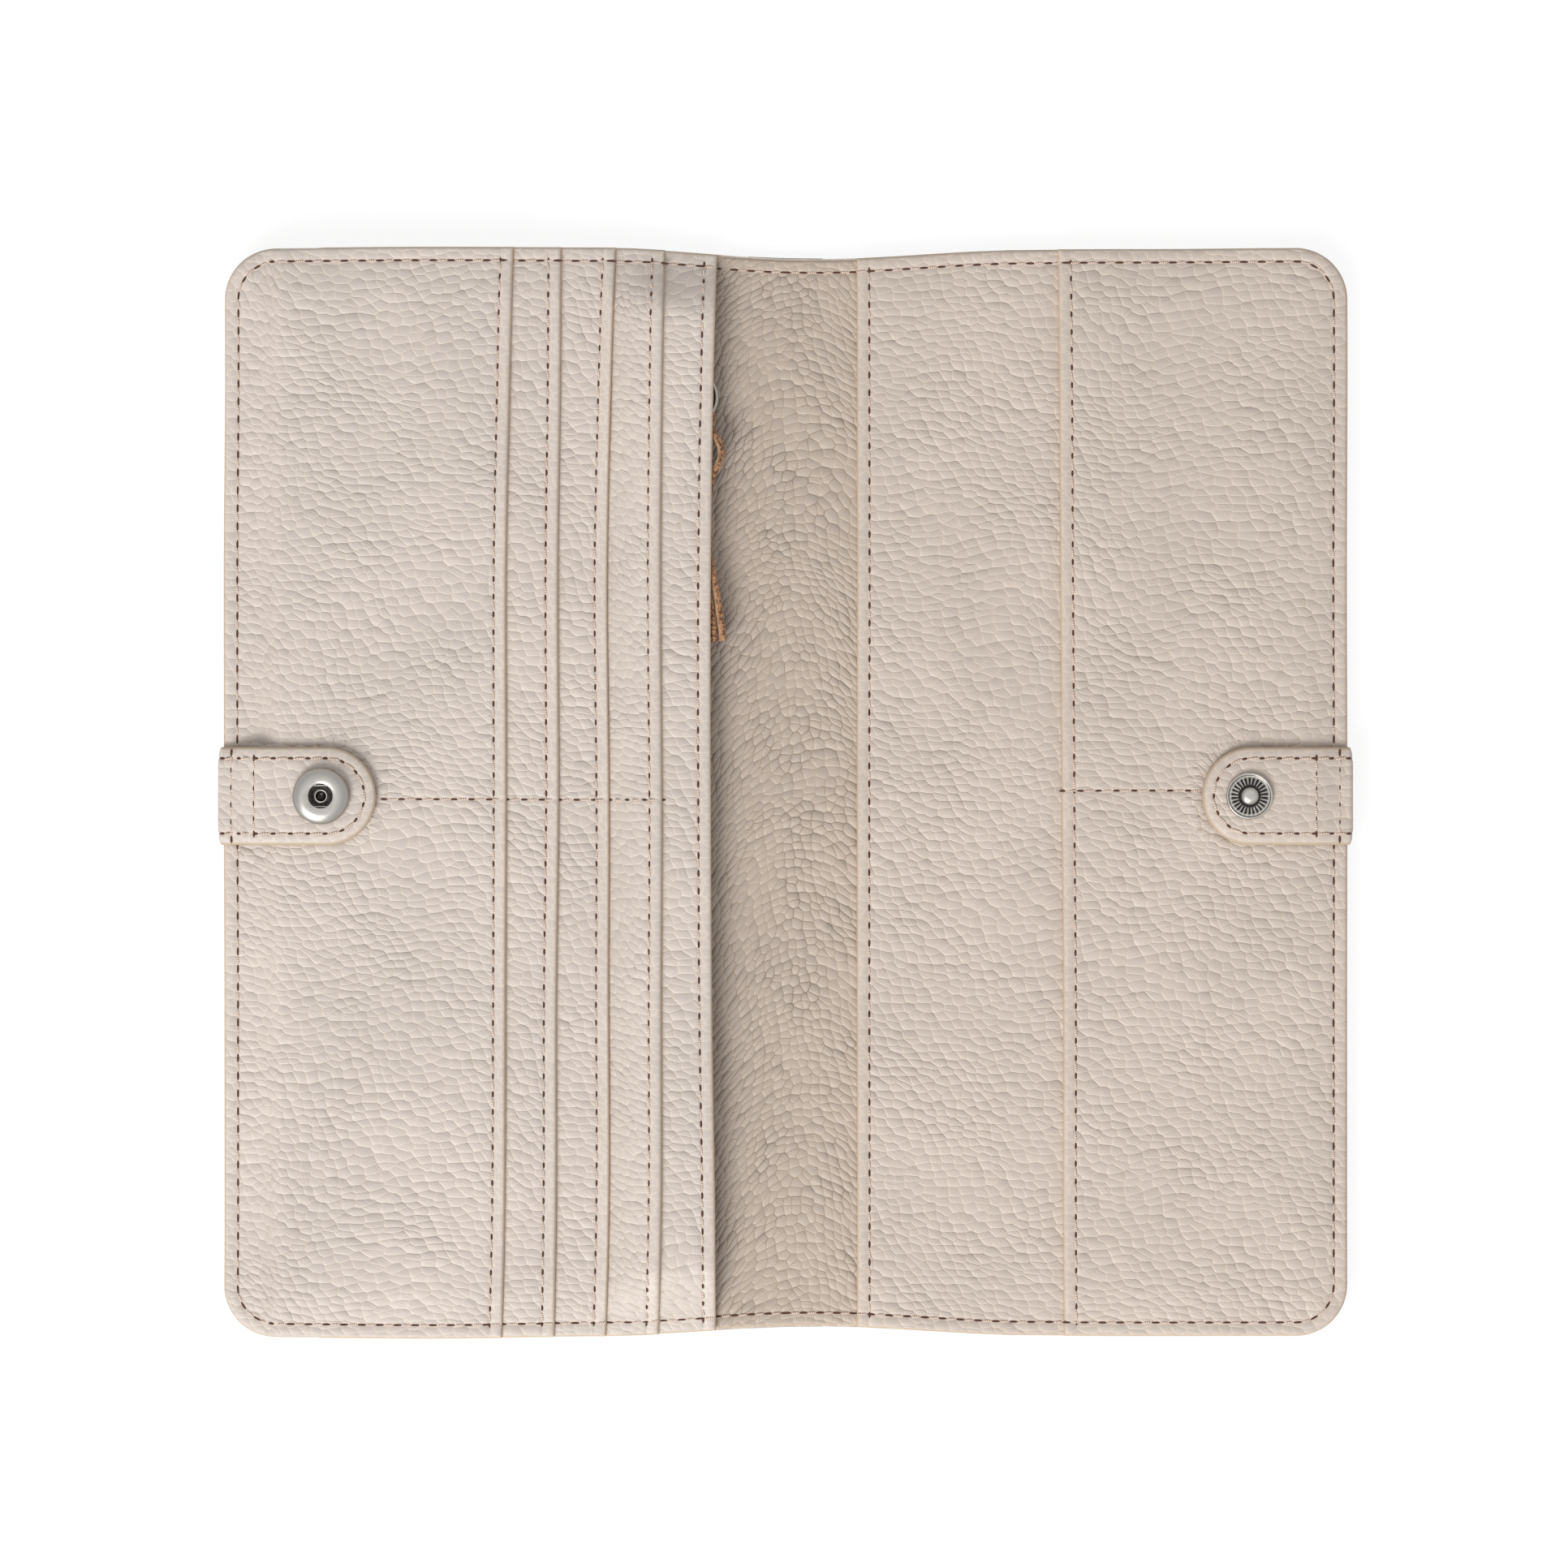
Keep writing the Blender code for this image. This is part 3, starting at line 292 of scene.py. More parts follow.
@dataclass(frozen=True)
class Leather(Finish):
    """Pebbled leather: domed cells in leaning rows, fine creases between them and tinted cut edges, with
    painted highlight towards the cells' borders and painted shade in the furrows.

    The cells are a Voronoi pattern of the object's own place, pushed about by slow and
    quick noise. Its rows may arch round one line along the spine.
    """

    name: str
    slot: str
    centre: tuple[int, int, int]
    # border is lighter than centre: partly the leather's warmer tone between pebbles, partly painted
    # highlight where the light catches the pebbles' slopes.
    border: tuple[int, int, int]
    # furrow is mixed into the furrows between cells by furrow_share: painted shade in the creases.
    furrow: tuple[int, int, int] = (150, 124, 104)
    edge: tuple[int, int, int] = (206, 184, 158)
    edge_width: float = 0.00032
    length: float = 0.0023
    width: float = 0.00142
    lean: float = 0.42
    slope: float = -0.05
    scatter: float = 0.68
    arch: float = 0.0
    arch_at: float = 0.0050
    relief: float = 0.00015
    furrow_depth: float = 0.000028
    crease_depth: float = 0.000020
    pore_depth: float = 0.000006
    furrow_share: float = 0.10
    crumple_scale: float = 1300.0
    crumple_depth: float = 0.00055
    crumple_stretch: float = 0.22
    roughness: float = 0.50
    slow_push: tuple[float, float] = (32.0, 0.0060)
    quick_push: tuple[float, float] = (170.0, 0.0007)
    wall_lean: float = 0.6
    fine_cell: tuple[float, float, float] = (0.46, 1.25, 0.95)
    even_scale: float = 110.0
    crease_scale: float = 210.0
    cloud_scale: float = 42.0
    shade_patch_scale: float = 300.0
    rough_scale: float = 700.0
    pore_scale: float = 3200.0
    plain_relief: float = 0.10
    plain_creases: float = 0.45

    def rows(self, shader: Shader, length: float, width: float, lean: float) -> bpy.types.NodeSocket:
        """Places counted in cells, leaning and arched.

        Args:
            shader: the material that is being built.
            length, width: size of a cell across the wallet and along its spine.
            lean: how far a cell leans sideways for each step along the spine.
        Returns:
            A vector with the two cell counts.
        """
        pushed = shader.push(shader.push(shader.place(), *self.slow_push), *self.quick_push)
        x, y, z = shader.node("SeparateXYZ", {0: pushed}).outputs
        x, y = shader.math("ADD", x, z), shader.math("MULTIPLY_ADD", z, self.wall_lean, y)
        off = shader.math("SUBTRACT", x, self.arch_at)
        arched = shader.math("MULTIPLY_ADD", shader.math("MULTIPLY", off, off), self.arch, y)
        across = shader.math("MULTIPLY", shader.math("MULTIPLY_ADD", y, lean, x), 1 / length)
        along = shader.math("MULTIPLY", shader.math("MULTIPLY_ADD", x, self.slope, arched), 1 / width)
        return shader.node("CombineXYZ", {0: across, 1: along}).outputs[0]

    def build(self, shader: Shader) -> bpy.types.Material:
        """Colour by cell, with painted highlight towards the border and painted shade in the furrow; relief
        by domes, furrows, creases and pores.
        """
        where = self.rows(shader, self.length, self.width, self.lean)
        cell = {"Vector": where, "Scale": 1.0, "Randomness": self.scatter}
        border = shader.node(
            "TexVoronoi", cell, feature="DISTANCE_TO_EDGE", voronoi_dimensions="2D"
        ).outputs["Distance"]
        own = shader.node("TexVoronoi", cell, voronoi_dimensions="2D").outputs["Color"]
        soft = shader.node(
            "TexVoronoi", cell | {"Smoothness": 0.10}, feature="SMOOTH_F1", voronoi_dimensions="2D"
        ).outputs["Distance"]
        missing = shader.math("POWER", shader.math("MULTIPLY", soft, 1.6), 2.0)
        full = shader.span(own, 0.0, 1.0, 0.85, 1.15)
        even = shader.span(shader.noise(self.even_scale, 1.0), 0.3, 0.7, 0.7, 1.1)
        kept = shader.span(shader.mark("plain"), 0.0, 1.0, 1.0, self.plain_relief)
        kept = shader.math("MULTIPLY", kept, even)
        dome = shader.math("MULTIPLY", shader.math("SUBTRACT", full, missing), kept)
        furrow = shader.math("MULTIPLY", shader.span(border, 0.0, 0.12, 1.0, 0.0), kept)
        longer, wider, lean = self.fine_cell
        fine = self.rows(shader, self.length * longer, self.width * wider, lean)
        crease = shader.node(
            "TexVoronoi", {"Vector": fine, "Scale": 1.0, "Randomness": 1.0},
            feature="DISTANCE_TO_EDGE", voronoi_dimensions="2D",
        ).outputs["Distance"]
        crease = shader.span(crease, 0.0, 0.20, 1.0, 0.0)
        some = shader.span(shader.noise(self.crease_scale, 1.0), 0.42, 0.62)
        crease = shader.math("MULTIPLY", crease, some)
        fewer = shader.span(shader.mark("plain"), 0.0, 1.0, 1.0, self.plain_creases)
        crease = shader.math("MULTIPLY", crease, fewer)
        # Lighter towards each cell's border: partly the leather's warmer tone, partly painted highlight on
        # the pebbles' slopes.
        base = shader.mix(shader.span(border, 0.02, 0.20), paint(*self.border), paint(*self.centre))
        patch = shader.span(shader.noise(self.cloud_scale, 4.0), 0.3, 0.7, 0.965, 1.03)
        cloudy = shader.math("MULTIPLY", patch, shader.span(own, 0.0, 1.0, 0.975, 1.02))
        toned = shader.node("VectorMath", {0: base, "Scale": cloudy}, operation="SCALE").outputs[0]
        # Furrows darkened towards the furrow colour, more in some patches than others: painted shade in the
        # creases.
        shade_patches = shader.span(shader.noise(self.shade_patch_scale), 0.35, 0.65, 0.2, 1.0)
        deep = shader.math("MULTIPLY", furrow, shade_patches)
        shaded = shader.mix(shader.math("MULTIPLY", deep, self.furrow_share), toned, paint(*self.furrow))
        rim = shader.span(shader.mark("rim"), self.edge_width * 0.5, self.edge_width, 1.0, 0.0)
        colour = shader.mix(rim, shaded, paint(*self.edge))
        rough = shader.noise(self.rough_scale, 3.0)
        rough = shader.span(rough, 0.3, 0.7, self.roughness - 0.05, self.roughness + 0.07)
        relief = shader.bump(dome, self.relief)
        relief = shader.bump(shader.math("SUBTRACT", 1.0, furrow), self.furrow_depth, relief)
        relief = shader.bump(shader.math("SUBTRACT", 1.0, crease), self.crease_depth, relief)
        relief = shader.bump(shader.noise(self.pore_scale, 3.0), self.pore_depth, relief)
        around = shader.math("MULTIPLY", shader.mark("around"), self.crumple_scale)
        away = shader.math("MULTIPLY", shader.mark("away"), self.crumple_scale * self.crumple_stretch)
        crumple = shader.noise(1.0, 2.0, shader.node("CombineXYZ", {0: around, 1: away}).outputs[0])
        crumple = shader.math("MULTIPLY", crumple, shader.mark("crumple"))
        relief = shader.bump(crumple, self.crumple_depth, relief)
        return shader.finish(base_color=colour, roughness=rough, normal=relief)


@dataclass(frozen=True)
class Thread(Finish):
    """Twisted sewing thread, with painted shade between its strands."""

    name: str = "thread"
    slot: str = ""
    light: tuple[int, int, int] = (232, 214, 201)
    # dark is painted shade between the strands.
    dark: tuple[int, int, int] = (176, 142, 120)

    def build(self, shader: Shader) -> bpy.types.Material:
        """Strands by a wave of the mark called twist, in relief and in colour, the darker colour being
        painted shade between the strands, with fine fibres.
        """
        strand = shader.math("SINE", shader.math("MULTIPLY", shader.mark("twist"), 2 * math.pi))
        fibre = shader.math("MULTIPLY_ADD", shader.noise(5200.0), 1.2, strand)
        colour = shader.mix(shader.span(fibre, -0.5, 0.7), paint(*self.dark), paint(*self.light))
        relief = shader.bump(fibre, 0.000022)
        return shader.finish(base_color=colour, roughness=0.75, normal=relief)


@dataclass(frozen=True)
class NeedleHoleShade(Finish):
    """Painted shade inside a needle hole."""

    name: str = "needle_hole_shade"
    slot: str = ""
    tone: tuple[int, int, int] = (110, 70, 48)
    depth: tuple[int, int, int] = (38, 23, 16)

    def build(self, shader: Shader) -> bpy.types.Material:
        """Brown painted shade, darker in patches."""
        colour = shader.mix(shader.noise(2500.0), paint(*self.tone), paint(*self.depth))
        return shader.finish(base_color=colour, roughness=0.9)


@dataclass(frozen=True)
class Metal(Finish):
    """Plated metal, darker where its point mark is high, by painted shade with some soiling, and a patchy
    tarnish.
    """

    name: str
    slot: str
    bright: tuple[int, int, int]
    grime: tuple[int, int, int]
    roughness: float = 0.3
    brush_scale: float = 3000.0
    tarnish: float = 0.16
    tarnish_scale: float = 420.0

    def build(self, shader: Shader) -> bpy.types.Material:
        """Bright metal, darkened by painted shade and soiling where the mark is high, by fine wear and in
        patches.
        """
        wear = shader.noise(self.brush_scale, 3.0)
        # The mark darkens the metal: painted shade in hollows and on slopes, with some soiling.
        darkening = shader.math("MULTIPLY", shader.mark("grime"), shader.span(wear, 0.2, 0.7, 0.93, 1.0))
        dull = shader.span(shader.noise(self.tarnish_scale, 2.0), 0.40, 0.65, 0.0, self.tarnish)
        dull = shader.math("MAXIMUM", dull, darkening)
        colour = shader.mix(dull, paint(*self.bright), paint(*self.grime))
        rough = shader.span(wear, 0.25, 0.75, self.roughness - 0.03, self.roughness + 0.05)
        relief = shader.bump(wear, 0.000002)
        return shader.finish(base_color=colour, roughness=rough, metallic=1.0, normal=relief)


@dataclass(frozen=True)
class Suede(Finish):
    """Raw suede: short fibres in two browns, and a smoother tan where the mark called skin is high."""

    name: str = "suede"
    slot: str = "suede_lace"
    nap: tuple[int, int, int] = (192, 144, 104)
    shade: tuple[int, int, int] = (94, 57, 38)
    skin: tuple[int, int, int] = (206, 164, 124)

    def build(self, shader: Shader) -> bpy.types.Material:
        """Fibres as two sizes of noise in colour and relief, with a little sheen."""
        fibre = shader.noise(4200.0, 4.0)
        tufts = shader.noise(1700.0, 2.0)
        dark = shader.span(shader.math("MULTIPLY", fibre, tufts), 0.17, 0.36)
        nap = shader.mix(dark, paint(*self.shade), paint(*self.nap))
        colour = shader.mix(shader.math("MULTIPLY", shader.mark("skin"), 0.85), nap, paint(*self.skin))
        relief = shader.bump(fibre, 0.00012, shader.bump(tufts, 0.0001))
        return shader.finish(base_color=colour, roughness=0.95, sheen_weight=0.35, normal=relief)


@dataclass(frozen=True)
class Tape(Finish):
    """Woven zip tape."""

    name: str = "woven_tape"
    slot: str = "zip_tape"
    light: tuple[int, int, int] = (168, 150, 128)
    dark: tuple[int, int, int] = (112, 96, 78)
    weave: float = 2600.0

    def build(self, shader: Shader) -> bpy.types.Material:
        """Two crossed waves as warp and weft."""
        place = shader.place()
        waves = [
            shader.node(
                "TexWave", {"Vector": place, "Scale": self.weave / 20}, bands_direction=axis
            ).outputs["Fac"]
            for axis in ("X", "Y")
        ]
        weave = shader.math("MULTIPLY", *waves)
        colour = shader.mix(shader.span(weave, 0.1, 0.7), paint(*self.dark), paint(*self.light))
        return shader.finish(base_color=colour, roughness=0.9, normal=shader.bump(weave, 0.00006))


@dataclass(frozen=True)
class Plain(Finish):
    """A matt inner layer, such as board or interlining, with a fibrous surface."""

    name: str
    slot: str
    tone: tuple[int, int, int]
    fleck: tuple[int, int, int]

    def build(self, shader: Shader) -> bpy.types.Material:
        """Fibres in colour and relief."""
        fibre = shader.noise(1800.0, 5.0)
        colour = shader.mix(shader.span(fibre, 0.3, 0.7), paint(*self.tone), paint(*self.fleck))
        return shader.finish(base_color=colour, roughness=0.9, normal=shader.bump(fibre, 0.00005))


# In each leather the fourth value, the border colour, is lighter than the centre colour: partly a warmer
# tone, partly painted highlight.
FRONT_LEATHER = Leather("front_inner_leather", "inner_leather", (209, 197, 188), (220, 207, 195))
# The back leather's colours are a little darker than the front's: painted shade for the weaker light on the
# back cover.
BACK_LEATHER = Leather("back_inner_leather", "inner_leather_back", (205, 191, 180), (215, 200, 186))
# The lining's colours are darker than the covers': partly its own tone, partly painted shade of the valley
# along the spine. Its dark furrow colour, at half share, is painted shade in its creases.
LINING_LEATHER = Leather(
    "spine_lining_leather", "lining_leather", (190, 175, 162), (205, 188, 171), (122, 98, 82),
    length=0.0018, width=0.0015, lean=0.1, arch=37.0, relief=0.00019, furrow_depth=0.00003, furrow_share=0.5,
)
OUTER_LEATHER = Leather("outer_leather", "outer_leather", (205, 192, 181), (215, 200, 186))
TAB_EDGE = {"edge": (190, 170, 147), "edge_width": 0.0006, "length": 0.0023, "width": 0.0015}
FRONT_TAB_LEATHER = replace(FRONT_LEATHER, name="front_tab_leather", **TAB_EDGE)
BACK_TAB_LEATHER = replace(BACK_LEATHER, name="back_tab_leather", **TAB_EDGE)
THREAD = Thread()
NEEDLE_HOLE_SHADE = NeedleHoleShade()
# The second colour is the dark one: painted shade and soiling where the mark is high, and tarnish in patches.
SNAP_METAL = Metal("snap_metal", "snap_metal", (188, 184, 178), (34, 31, 31), 0.35)
ZIP_METAL = Metal("zip_metal", "zip_metal", (158, 155, 148), (70, 66, 60), 0.3)
SUEDE = Suede()
TAPE = Tape()
BOARD = Plain("grey_board", "board", (118, 108, 98), (92, 84, 76))
INTERLINING = Plain("interlining", "interlining", (140, 134, 124), (118, 112, 104))


@dataclass(frozen=True)
class Outline:
    """The open wallet from above: a rectangle with round corners, drawn in at its spine."""

    half_width: float = 0.0980
    half_height: float = 0.0950
    corner: float = 0.0090
    waist_depth: float = 0.0016
    waist_centre: float = 0.0050
    waist_reach: float = 0.0380
    wander: float = 0.00022

    def height_at(self, x: Array) -> Array:
        """Half height at x: the full one, less a squared cosine round the waist's centre."""
        off = np.minimum(np.abs(x - self.waist_centre) / self.waist_reach, 1.0)
        return self.half_height - self.waist_depth * np.cos(off * np.pi / 2) ** 2

    def reach_at(self, v: Array) -> Array:
        """How far the outline reaches from the spine at v, by the circle of its corners."""
        into = np.maximum(np.abs(v) - (self.half_height - self.corner), 0)
        return self.half_width - self.corner + np.sqrt(np.maximum(self.corner**2 - into**2, 0))

    def depth(self, x: Array, y: Array) -> Array:
        """Distance inwards from the outline: the corner radius less the distance to the inner box."""
        across = np.abs(x) - (self.half_width - self.corner)
        along = np.abs(y) - (self.height_at(x) - self.corner)
        outside = np.hypot(np.maximum(across, 0), np.maximum(along, 0))
        return self.corner - outside - np.minimum(np.maximum(across, along), 0)

    def rows(self, step: float, middle: float = 0.0026) -> Array:
        """Places along the spine: even on the straight, closer in the middle and in the corners."""
        straight = self.half_height - self.corner
        even = np.linspace(-straight, straight, int(2 * straight / step) + 1)
        close = np.arange(-middle, middle, step / 3)
        even = np.concatenate([even[even < -middle], close, even[even > middle]])
        turn = np.linspace(0, np.pi / 2, 40)[1:]
        bend = straight + self.corner * np.sin(turn)
        return np.concatenate([-bend[::-1], even, bend])

    def settle(self, x: Array, y: Array) -> tuple[Array, Array]:
        """Shift places as soft leather lies: up to a fifth of a millimetre, by slow drift."""
        wide = self.wander * drift(x, y, 0.037, 41.0)
        high = self.wander * drift(x, y, 0.031, 43.0)
        return x + wide * np.clip(np.abs(x) / 0.02, 0, 1), y + high

    def path(self, side: Side, start: float, inset: float) -> Array:
        """The outline of one cover, drawn in by inset, from the lower spine end to the upper one.

        Args:
            side: the cover.
            start: distance from the middle of the spine at both ends.
            inset: how far the path lies inside the outline.
        Returns:
            Points in x and y.
        """
        radius = self.corner - inset
        flat = np.linspace(start, self.half_width - self.corner, 160)
        turn = np.linspace(0, np.pi / 2, 24)[1:]
        lower_x = np.concatenate([flat, self.half_width - self.corner + radius * np.sin(turn)])
        lower_y = self.height_at(side.value * lower_x) - inset
        lower_y[len(flat):] = self.half_height - self.corner + radius * np.cos(turn)
        x = np.concatenate([lower_x, lower_x[::-1]])
        y = np.concatenate([-lower_y, lower_y[::-1]])
        return np.stack([side.value * x, y], -1)


@dataclass(frozen=True)
class Hem:
    """A turned and sewn edge: its roll, the furrow of its seam and the pull of the stitches."""

    round: float = 0.00060
    roll: float = 0.00105
    roll_width: float = 0.00085
    rise: float = 0.00010
    stitch: float = 0.00220
    rim_stitch: float = 0.00240
    furrow: float = 0.00013
    furrow_width: float = 0.00040
    pitch: float = 0.0031
    plain_to: float = 0.0021
    plain_fade: float = 0.0005


OUTLINE = Outline()
HEM = Hem()
EDGE_STATIONS = (0.0935, 0.0419, -0.0011, -0.0940)


@dataclass(frozen=True)
class Stack:
    """Levels of the layers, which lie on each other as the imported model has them.

    A layer thins towards the rim, and the card backing arches over the zip. The sizes
    that the boxes don't give are repeated from the part's own source.
    """

    rim_band: float = 0.0090
    side_band: float = 0.0080
    kept: float = 0.6
    cloth: float = 0.00025
    step: float = 0.0090
    ramp: float = 0.0030
    pocket_end: float = 0.0880
    end_ramp: float = 0.0040
    pocket_edges: tuple[float, ...] = (0.0215, 0.0305, 0.0395, 0.0485)
    arch_end: float = 0.0335
    arch_start: float = 0.0222
    seal_ramp: float = 0.0004
    seal_depth: float = 0.0018
    seal_fade: float = 0.0006

    @property
    def shell(self) -> float:
        """Top of the lining."""
        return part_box("front_lining")[1].z

    @property
    def gap(self) -> float:
        """Clearance between two layers."""
        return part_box("coin_pocket_panel")[0].z - self.shell

    @property
    def leather(self) -> float:
        """Thickness of a panel."""
        low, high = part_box("coin_pocket_panel")
        return high.z - low.z

    @property
    def cavity(self) -> float:
        """Top of the room for the zip pull."""
        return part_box("card_backing_panel")[1].z - self.leather

    def panel(self, across: Array, v: Array) -> Array:
        """Thickness of a panel, skived towards the rim."""
        top = smooth((np.abs(v) - (OUTLINE.half_height - self.rim_band)) / self.rim_band)
        side = smooth((across - (OUTLINE.half_width - self.side_band)) / self.side_band)
        return self.leather * (1 - (1 - self.kept) * np.maximum(top, side))

    def pocket(self, index: int, across: Array, v: Array) -> Array:
        """Thickness of a card pocket: leather for a step behind its edge, and cloth from there on."""
        last = index == len(self.pocket_edges) - 1
        cloth = 0 if last else smooth((across - self.pocket_edges[index] - self.step) / self.ramp)
        return np.maximum(self.cloth, self.panel(across, v) * (1 - cloth))

    def coin(self, across: Array, v: Array) -> Array:
        """Top of the coin pocket's panel."""
        return self.shell + self.gap + self.panel(across, v)

    def arch(self, across: Array, v: Array) -> Array:
        """Share of the arch over the zip."""
        width = self.arch_end - self.arch_start
        height = self.rim_band + self.ramp
        closing = smooth((OUTLINE.half_height - np.abs(v)) / height)
        return smooth((self.arch_end - across) / width) * closing

    def backing_low(self, across: Array, v: Array) -> Array:
        """Underside of the card backing."""
        flat = self.coin(across, v) + self.gap
        return flat + (self.cavity - flat) * self.arch(across, v)

    def backing(self, across: Array, v: Array) -> Array:
        """Top of the card backing."""
        return self.backing_low(across, v) + self.panel(across, v)

    def pocket_low(self, index: int, across: Array, v: Array) -> Array:
        """Underside of a card pocket, on the pockets nearer the spine as far as these reach."""
        level = self.backing(across, v) + self.gap
        below = smooth((self.pocket_end + self.end_ramp - across) / self.end_ramp)
        for deeper in range(index):
            level = level + (self.pocket(deeper, across, v) + self.gap) * below
        return level

    def pocket_top(self, index: int, across: Array, v: Array) -> Array:
        """Top of a card pocket."""
        return self.pocket_low(index, across, v) + self.pocket(index, across, v)

    def seal(self, across: Array, v: Array) -> Array:
        """How far the topmost pocket's underside comes down at the rim, beyond the other pockets' ends.

        Those ends draw in round the corner: a pocket's edge plus its share of the reach from there.
        """
        edge = self.pocket_edges[1]
        share = (self.pocket_end - edge) / (OUTLINE.half_width - edge)
        ends = edge + share * (OUTLINE.reach_at(v) - edge)
        beyond = smooth((across - ends + self.seal_ramp / 4) / self.seal_ramp)
        rim = smooth((self.seal_depth - (OUTLINE.half_height - np.abs(v))) / self.seal_fade)
        topmost = self.pocket_low(len(self.pocket_edges) - 1, across, v)
        return (topmost - self.backing(across, v) - self.gap) * beyond * rim

    def back_top(self, layer: int, across: Array, v: Array) -> Array:
        """Top of a back panel, with layer 0 on the lining."""
        return self.shell + (layer + 1) * (self.gap + self.panel(across, v))


STACK = Stack()


@dataclass(frozen=True)
class Ply:
    """One sewn layer of leather on a cover, from its inner edge to the outline.

    Its underside has some of the face's columns, and all of them from close_from on.
    """

    name: str
    side: Side
    edge: tuple[float, ...]
    top: Level
    low: Level
    finish: Leather
    fine_to: float
    reach: float = 0.0980
    inset: float = 0.0
    covered_from: tuple[float, ...] = ()
    divided_at: float | None = None
    pressed_by: tuple[float, float, float] | None = None
    hemmed: bool = True
    close_from: float = 1.0
    fine_step: float = 0.0006
    coarse_step: float = 0.0026
    under_every: int = 5
    wave: float = 0.00006
    wave_size: float = 0.017
    step_depth: float = 0.00018
    step_width: float = 0.0016
    thinnest: float = 0.0001
    seed: float = 1.0

    def edge_at(self, v: Array) -> Array:
        """Distance of the inner edge from the spine's middle: a cubic through its four stations."""
        return np.polyval(np.polyfit(EDGE_STATIONS, self.edge, 3), v)

    def covered_at(self, v: Array) -> Array:
        """Where the next layer's edge lies on this one."""
        return np.polyval(np.polyfit(EDGE_STATIONS, self.covered_from, 3), v)

    def along(self, x: Array, y: Array) -> Array:
        """The place along the spine in the outline's own measure."""
        return y * OUTLINE.half_height / (OUTLINE.height_at(x) - self.inset)

    def face(self, x: Array, y: Array) -> tuple[Array, Array]:
        """The layer's upper face without its grain.

        Args:
            x, y: places on the wallet.
        Returns:
            The height, and the distance to the layer's nearest edge.
        """
        v = self.along(x, y)
        across = np.abs(x)
        behind = across - self.edge_at(v)
        inside = OUTLINE.depth(x, y) - self.inset
        level = self.top(across, v) + self.wave * drift(x, y, self.wave_size, self.seed)
        pull = 0.7 + 0.3 * np.cos(2 * np.pi * y / HEM.pitch)
        level = level - HEM.furrow * bell(inside - HEM.rim_stitch, HEM.furrow_width)
        level = level + HEM.rise * bell(inside - HEM.roll, HEM.roll_width)
        if self.hemmed:
            level = level - HEM.furrow * pull * bell(behind - HEM.stitch, HEM.furrow_width)
            level = level + HEM.rise * bell(behind - HEM.roll, HEM.roll_width)
        if self.covered_from:
            level = level - self.step_depth * bell(across - self.covered_at(v), self.step_width)
        if self.divided_at is not None:
            level = level - HEM.furrow * bell(y - self.divided_at, HEM.furrow_width)
        near = np.minimum(behind, inside) if self.hemmed else inside
        return level, near

    def crumpled(self, x: Array, y: Array) -> dict[str, Array]:
        """Marks of the creases that a tab's round end presses into this layer.

        Args:
            x, y: places on the wallet.
        Returns:
            The creases' strength, the way round the tab's end, and the way out from it.
        """
        centre_x, centre_y, radius = self.pressed_by
        inward, upward = -self.side.value * x - centre_x, y - centre_y
        away = np.hypot(inward, upward) - radius
        turn = np.arctan2(upward, inward)
        kept = smooth((turn + 1.1) / 0.6) * smooth((1.9 - turn) / 0.5)
        return {"crumple": bell(away - 0.0005, 0.0021) * kept, "around": turn * radius, "away": away}

    def columns(self) -> Array:
        """Distances from the spine: close at the seams, fine where the layer is seen, coarse beyond."""
        start = self.edge[1]
        hem = start + np.array(
            [0, 0.05, 0.14, 0.28, 0.46, 0.7, 1.0, 1.3, 1.6, 1.85, 2.05, 2.2, 2.35, 2.55, 2.8, 3.2]
        ) / 1000
        end = np.array(
            [3.4, 3.0, 2.75, 2.55, 2.4, 2.25, 2.05, 1.8, 1.5, 1.2, 0.9, 0.65, 0.45, 0.28, 0.14, 0.05, 0]
        ) / 1000
        last = self.reach - end
        fine = np.arange(hem[-1], min(self.fine_to, last[0]), self.fine_step)[1:]
        parts = [hem, fine]
        if self.fine_to < self.reach:
            seen = np.concatenate(parts)[-1]
            parts.append(np.linspace(seen, last[0], int((last[0] - seen) / self.coarse_step) + 2)[1:-1])
            parts.append(last)
        return np.concatenate(parts)

    def build(self, *bodies: str) -> bpy.types.Object:
        """Make the layer as a closed shell: a fine upper face, a light underside and thin walls.

        Args:
            bodies: the body that it rides on.
        Returns:
            The dressed piece.
        """
        v, column = np.meshgrid(OUTLINE.rows(self.fine_step), self.columns(), indexing="ij")
        edge = self.edge_at(v)
        full = OUTLINE.half_width - self.edge[1]
        x = edge + (column - self.edge[1]) / full * (OUTLINE.reach_at(v) - self.inset - edge)
        x = self.side.value * x
        y = v * (OUTLINE.height_at(x) - self.inset) / OUTLINE.half_height
        level, near = self.face(x, y)
        behind = np.abs(x) - self.edge_at(self.along(x, y)) if self.hemmed else near + 1
        plain = 1 - smooth((behind - HEM.plain_to) / HEM.plain_fade)
        plain = np.maximum(plain, 0.45 * (1 - smooth((near - HEM.plain_to) / HEM.plain_fade)))
        low = self.low(np.abs(x), v)
        roll = np.sqrt(1 - 0.92 * (1 - np.clip(near / HEM.round, 0, 1)) ** 2)
        x, y = OUTLINE.settle(x, y)
        upper = np.stack([x, y, low + np.maximum(level - low, self.thinnest) * roll], -1)
        picked = np.append(np.arange(0, column.shape[1], self.under_every), column.shape[1] - 1)
        picked = np.unique(np.append(picked, np.flatnonzero(self.columns() > self.close_from)))
        lower = np.stack([x, y, low], -1)[:, picked]
        polygons = shell_polygons(upper.shape[:2], picked, self.side)
        marks = {"plain": plain, "rim": np.maximum(near, 0)}
        if self.pressed_by is not None:
            marks |= self.crumpled(x, y)
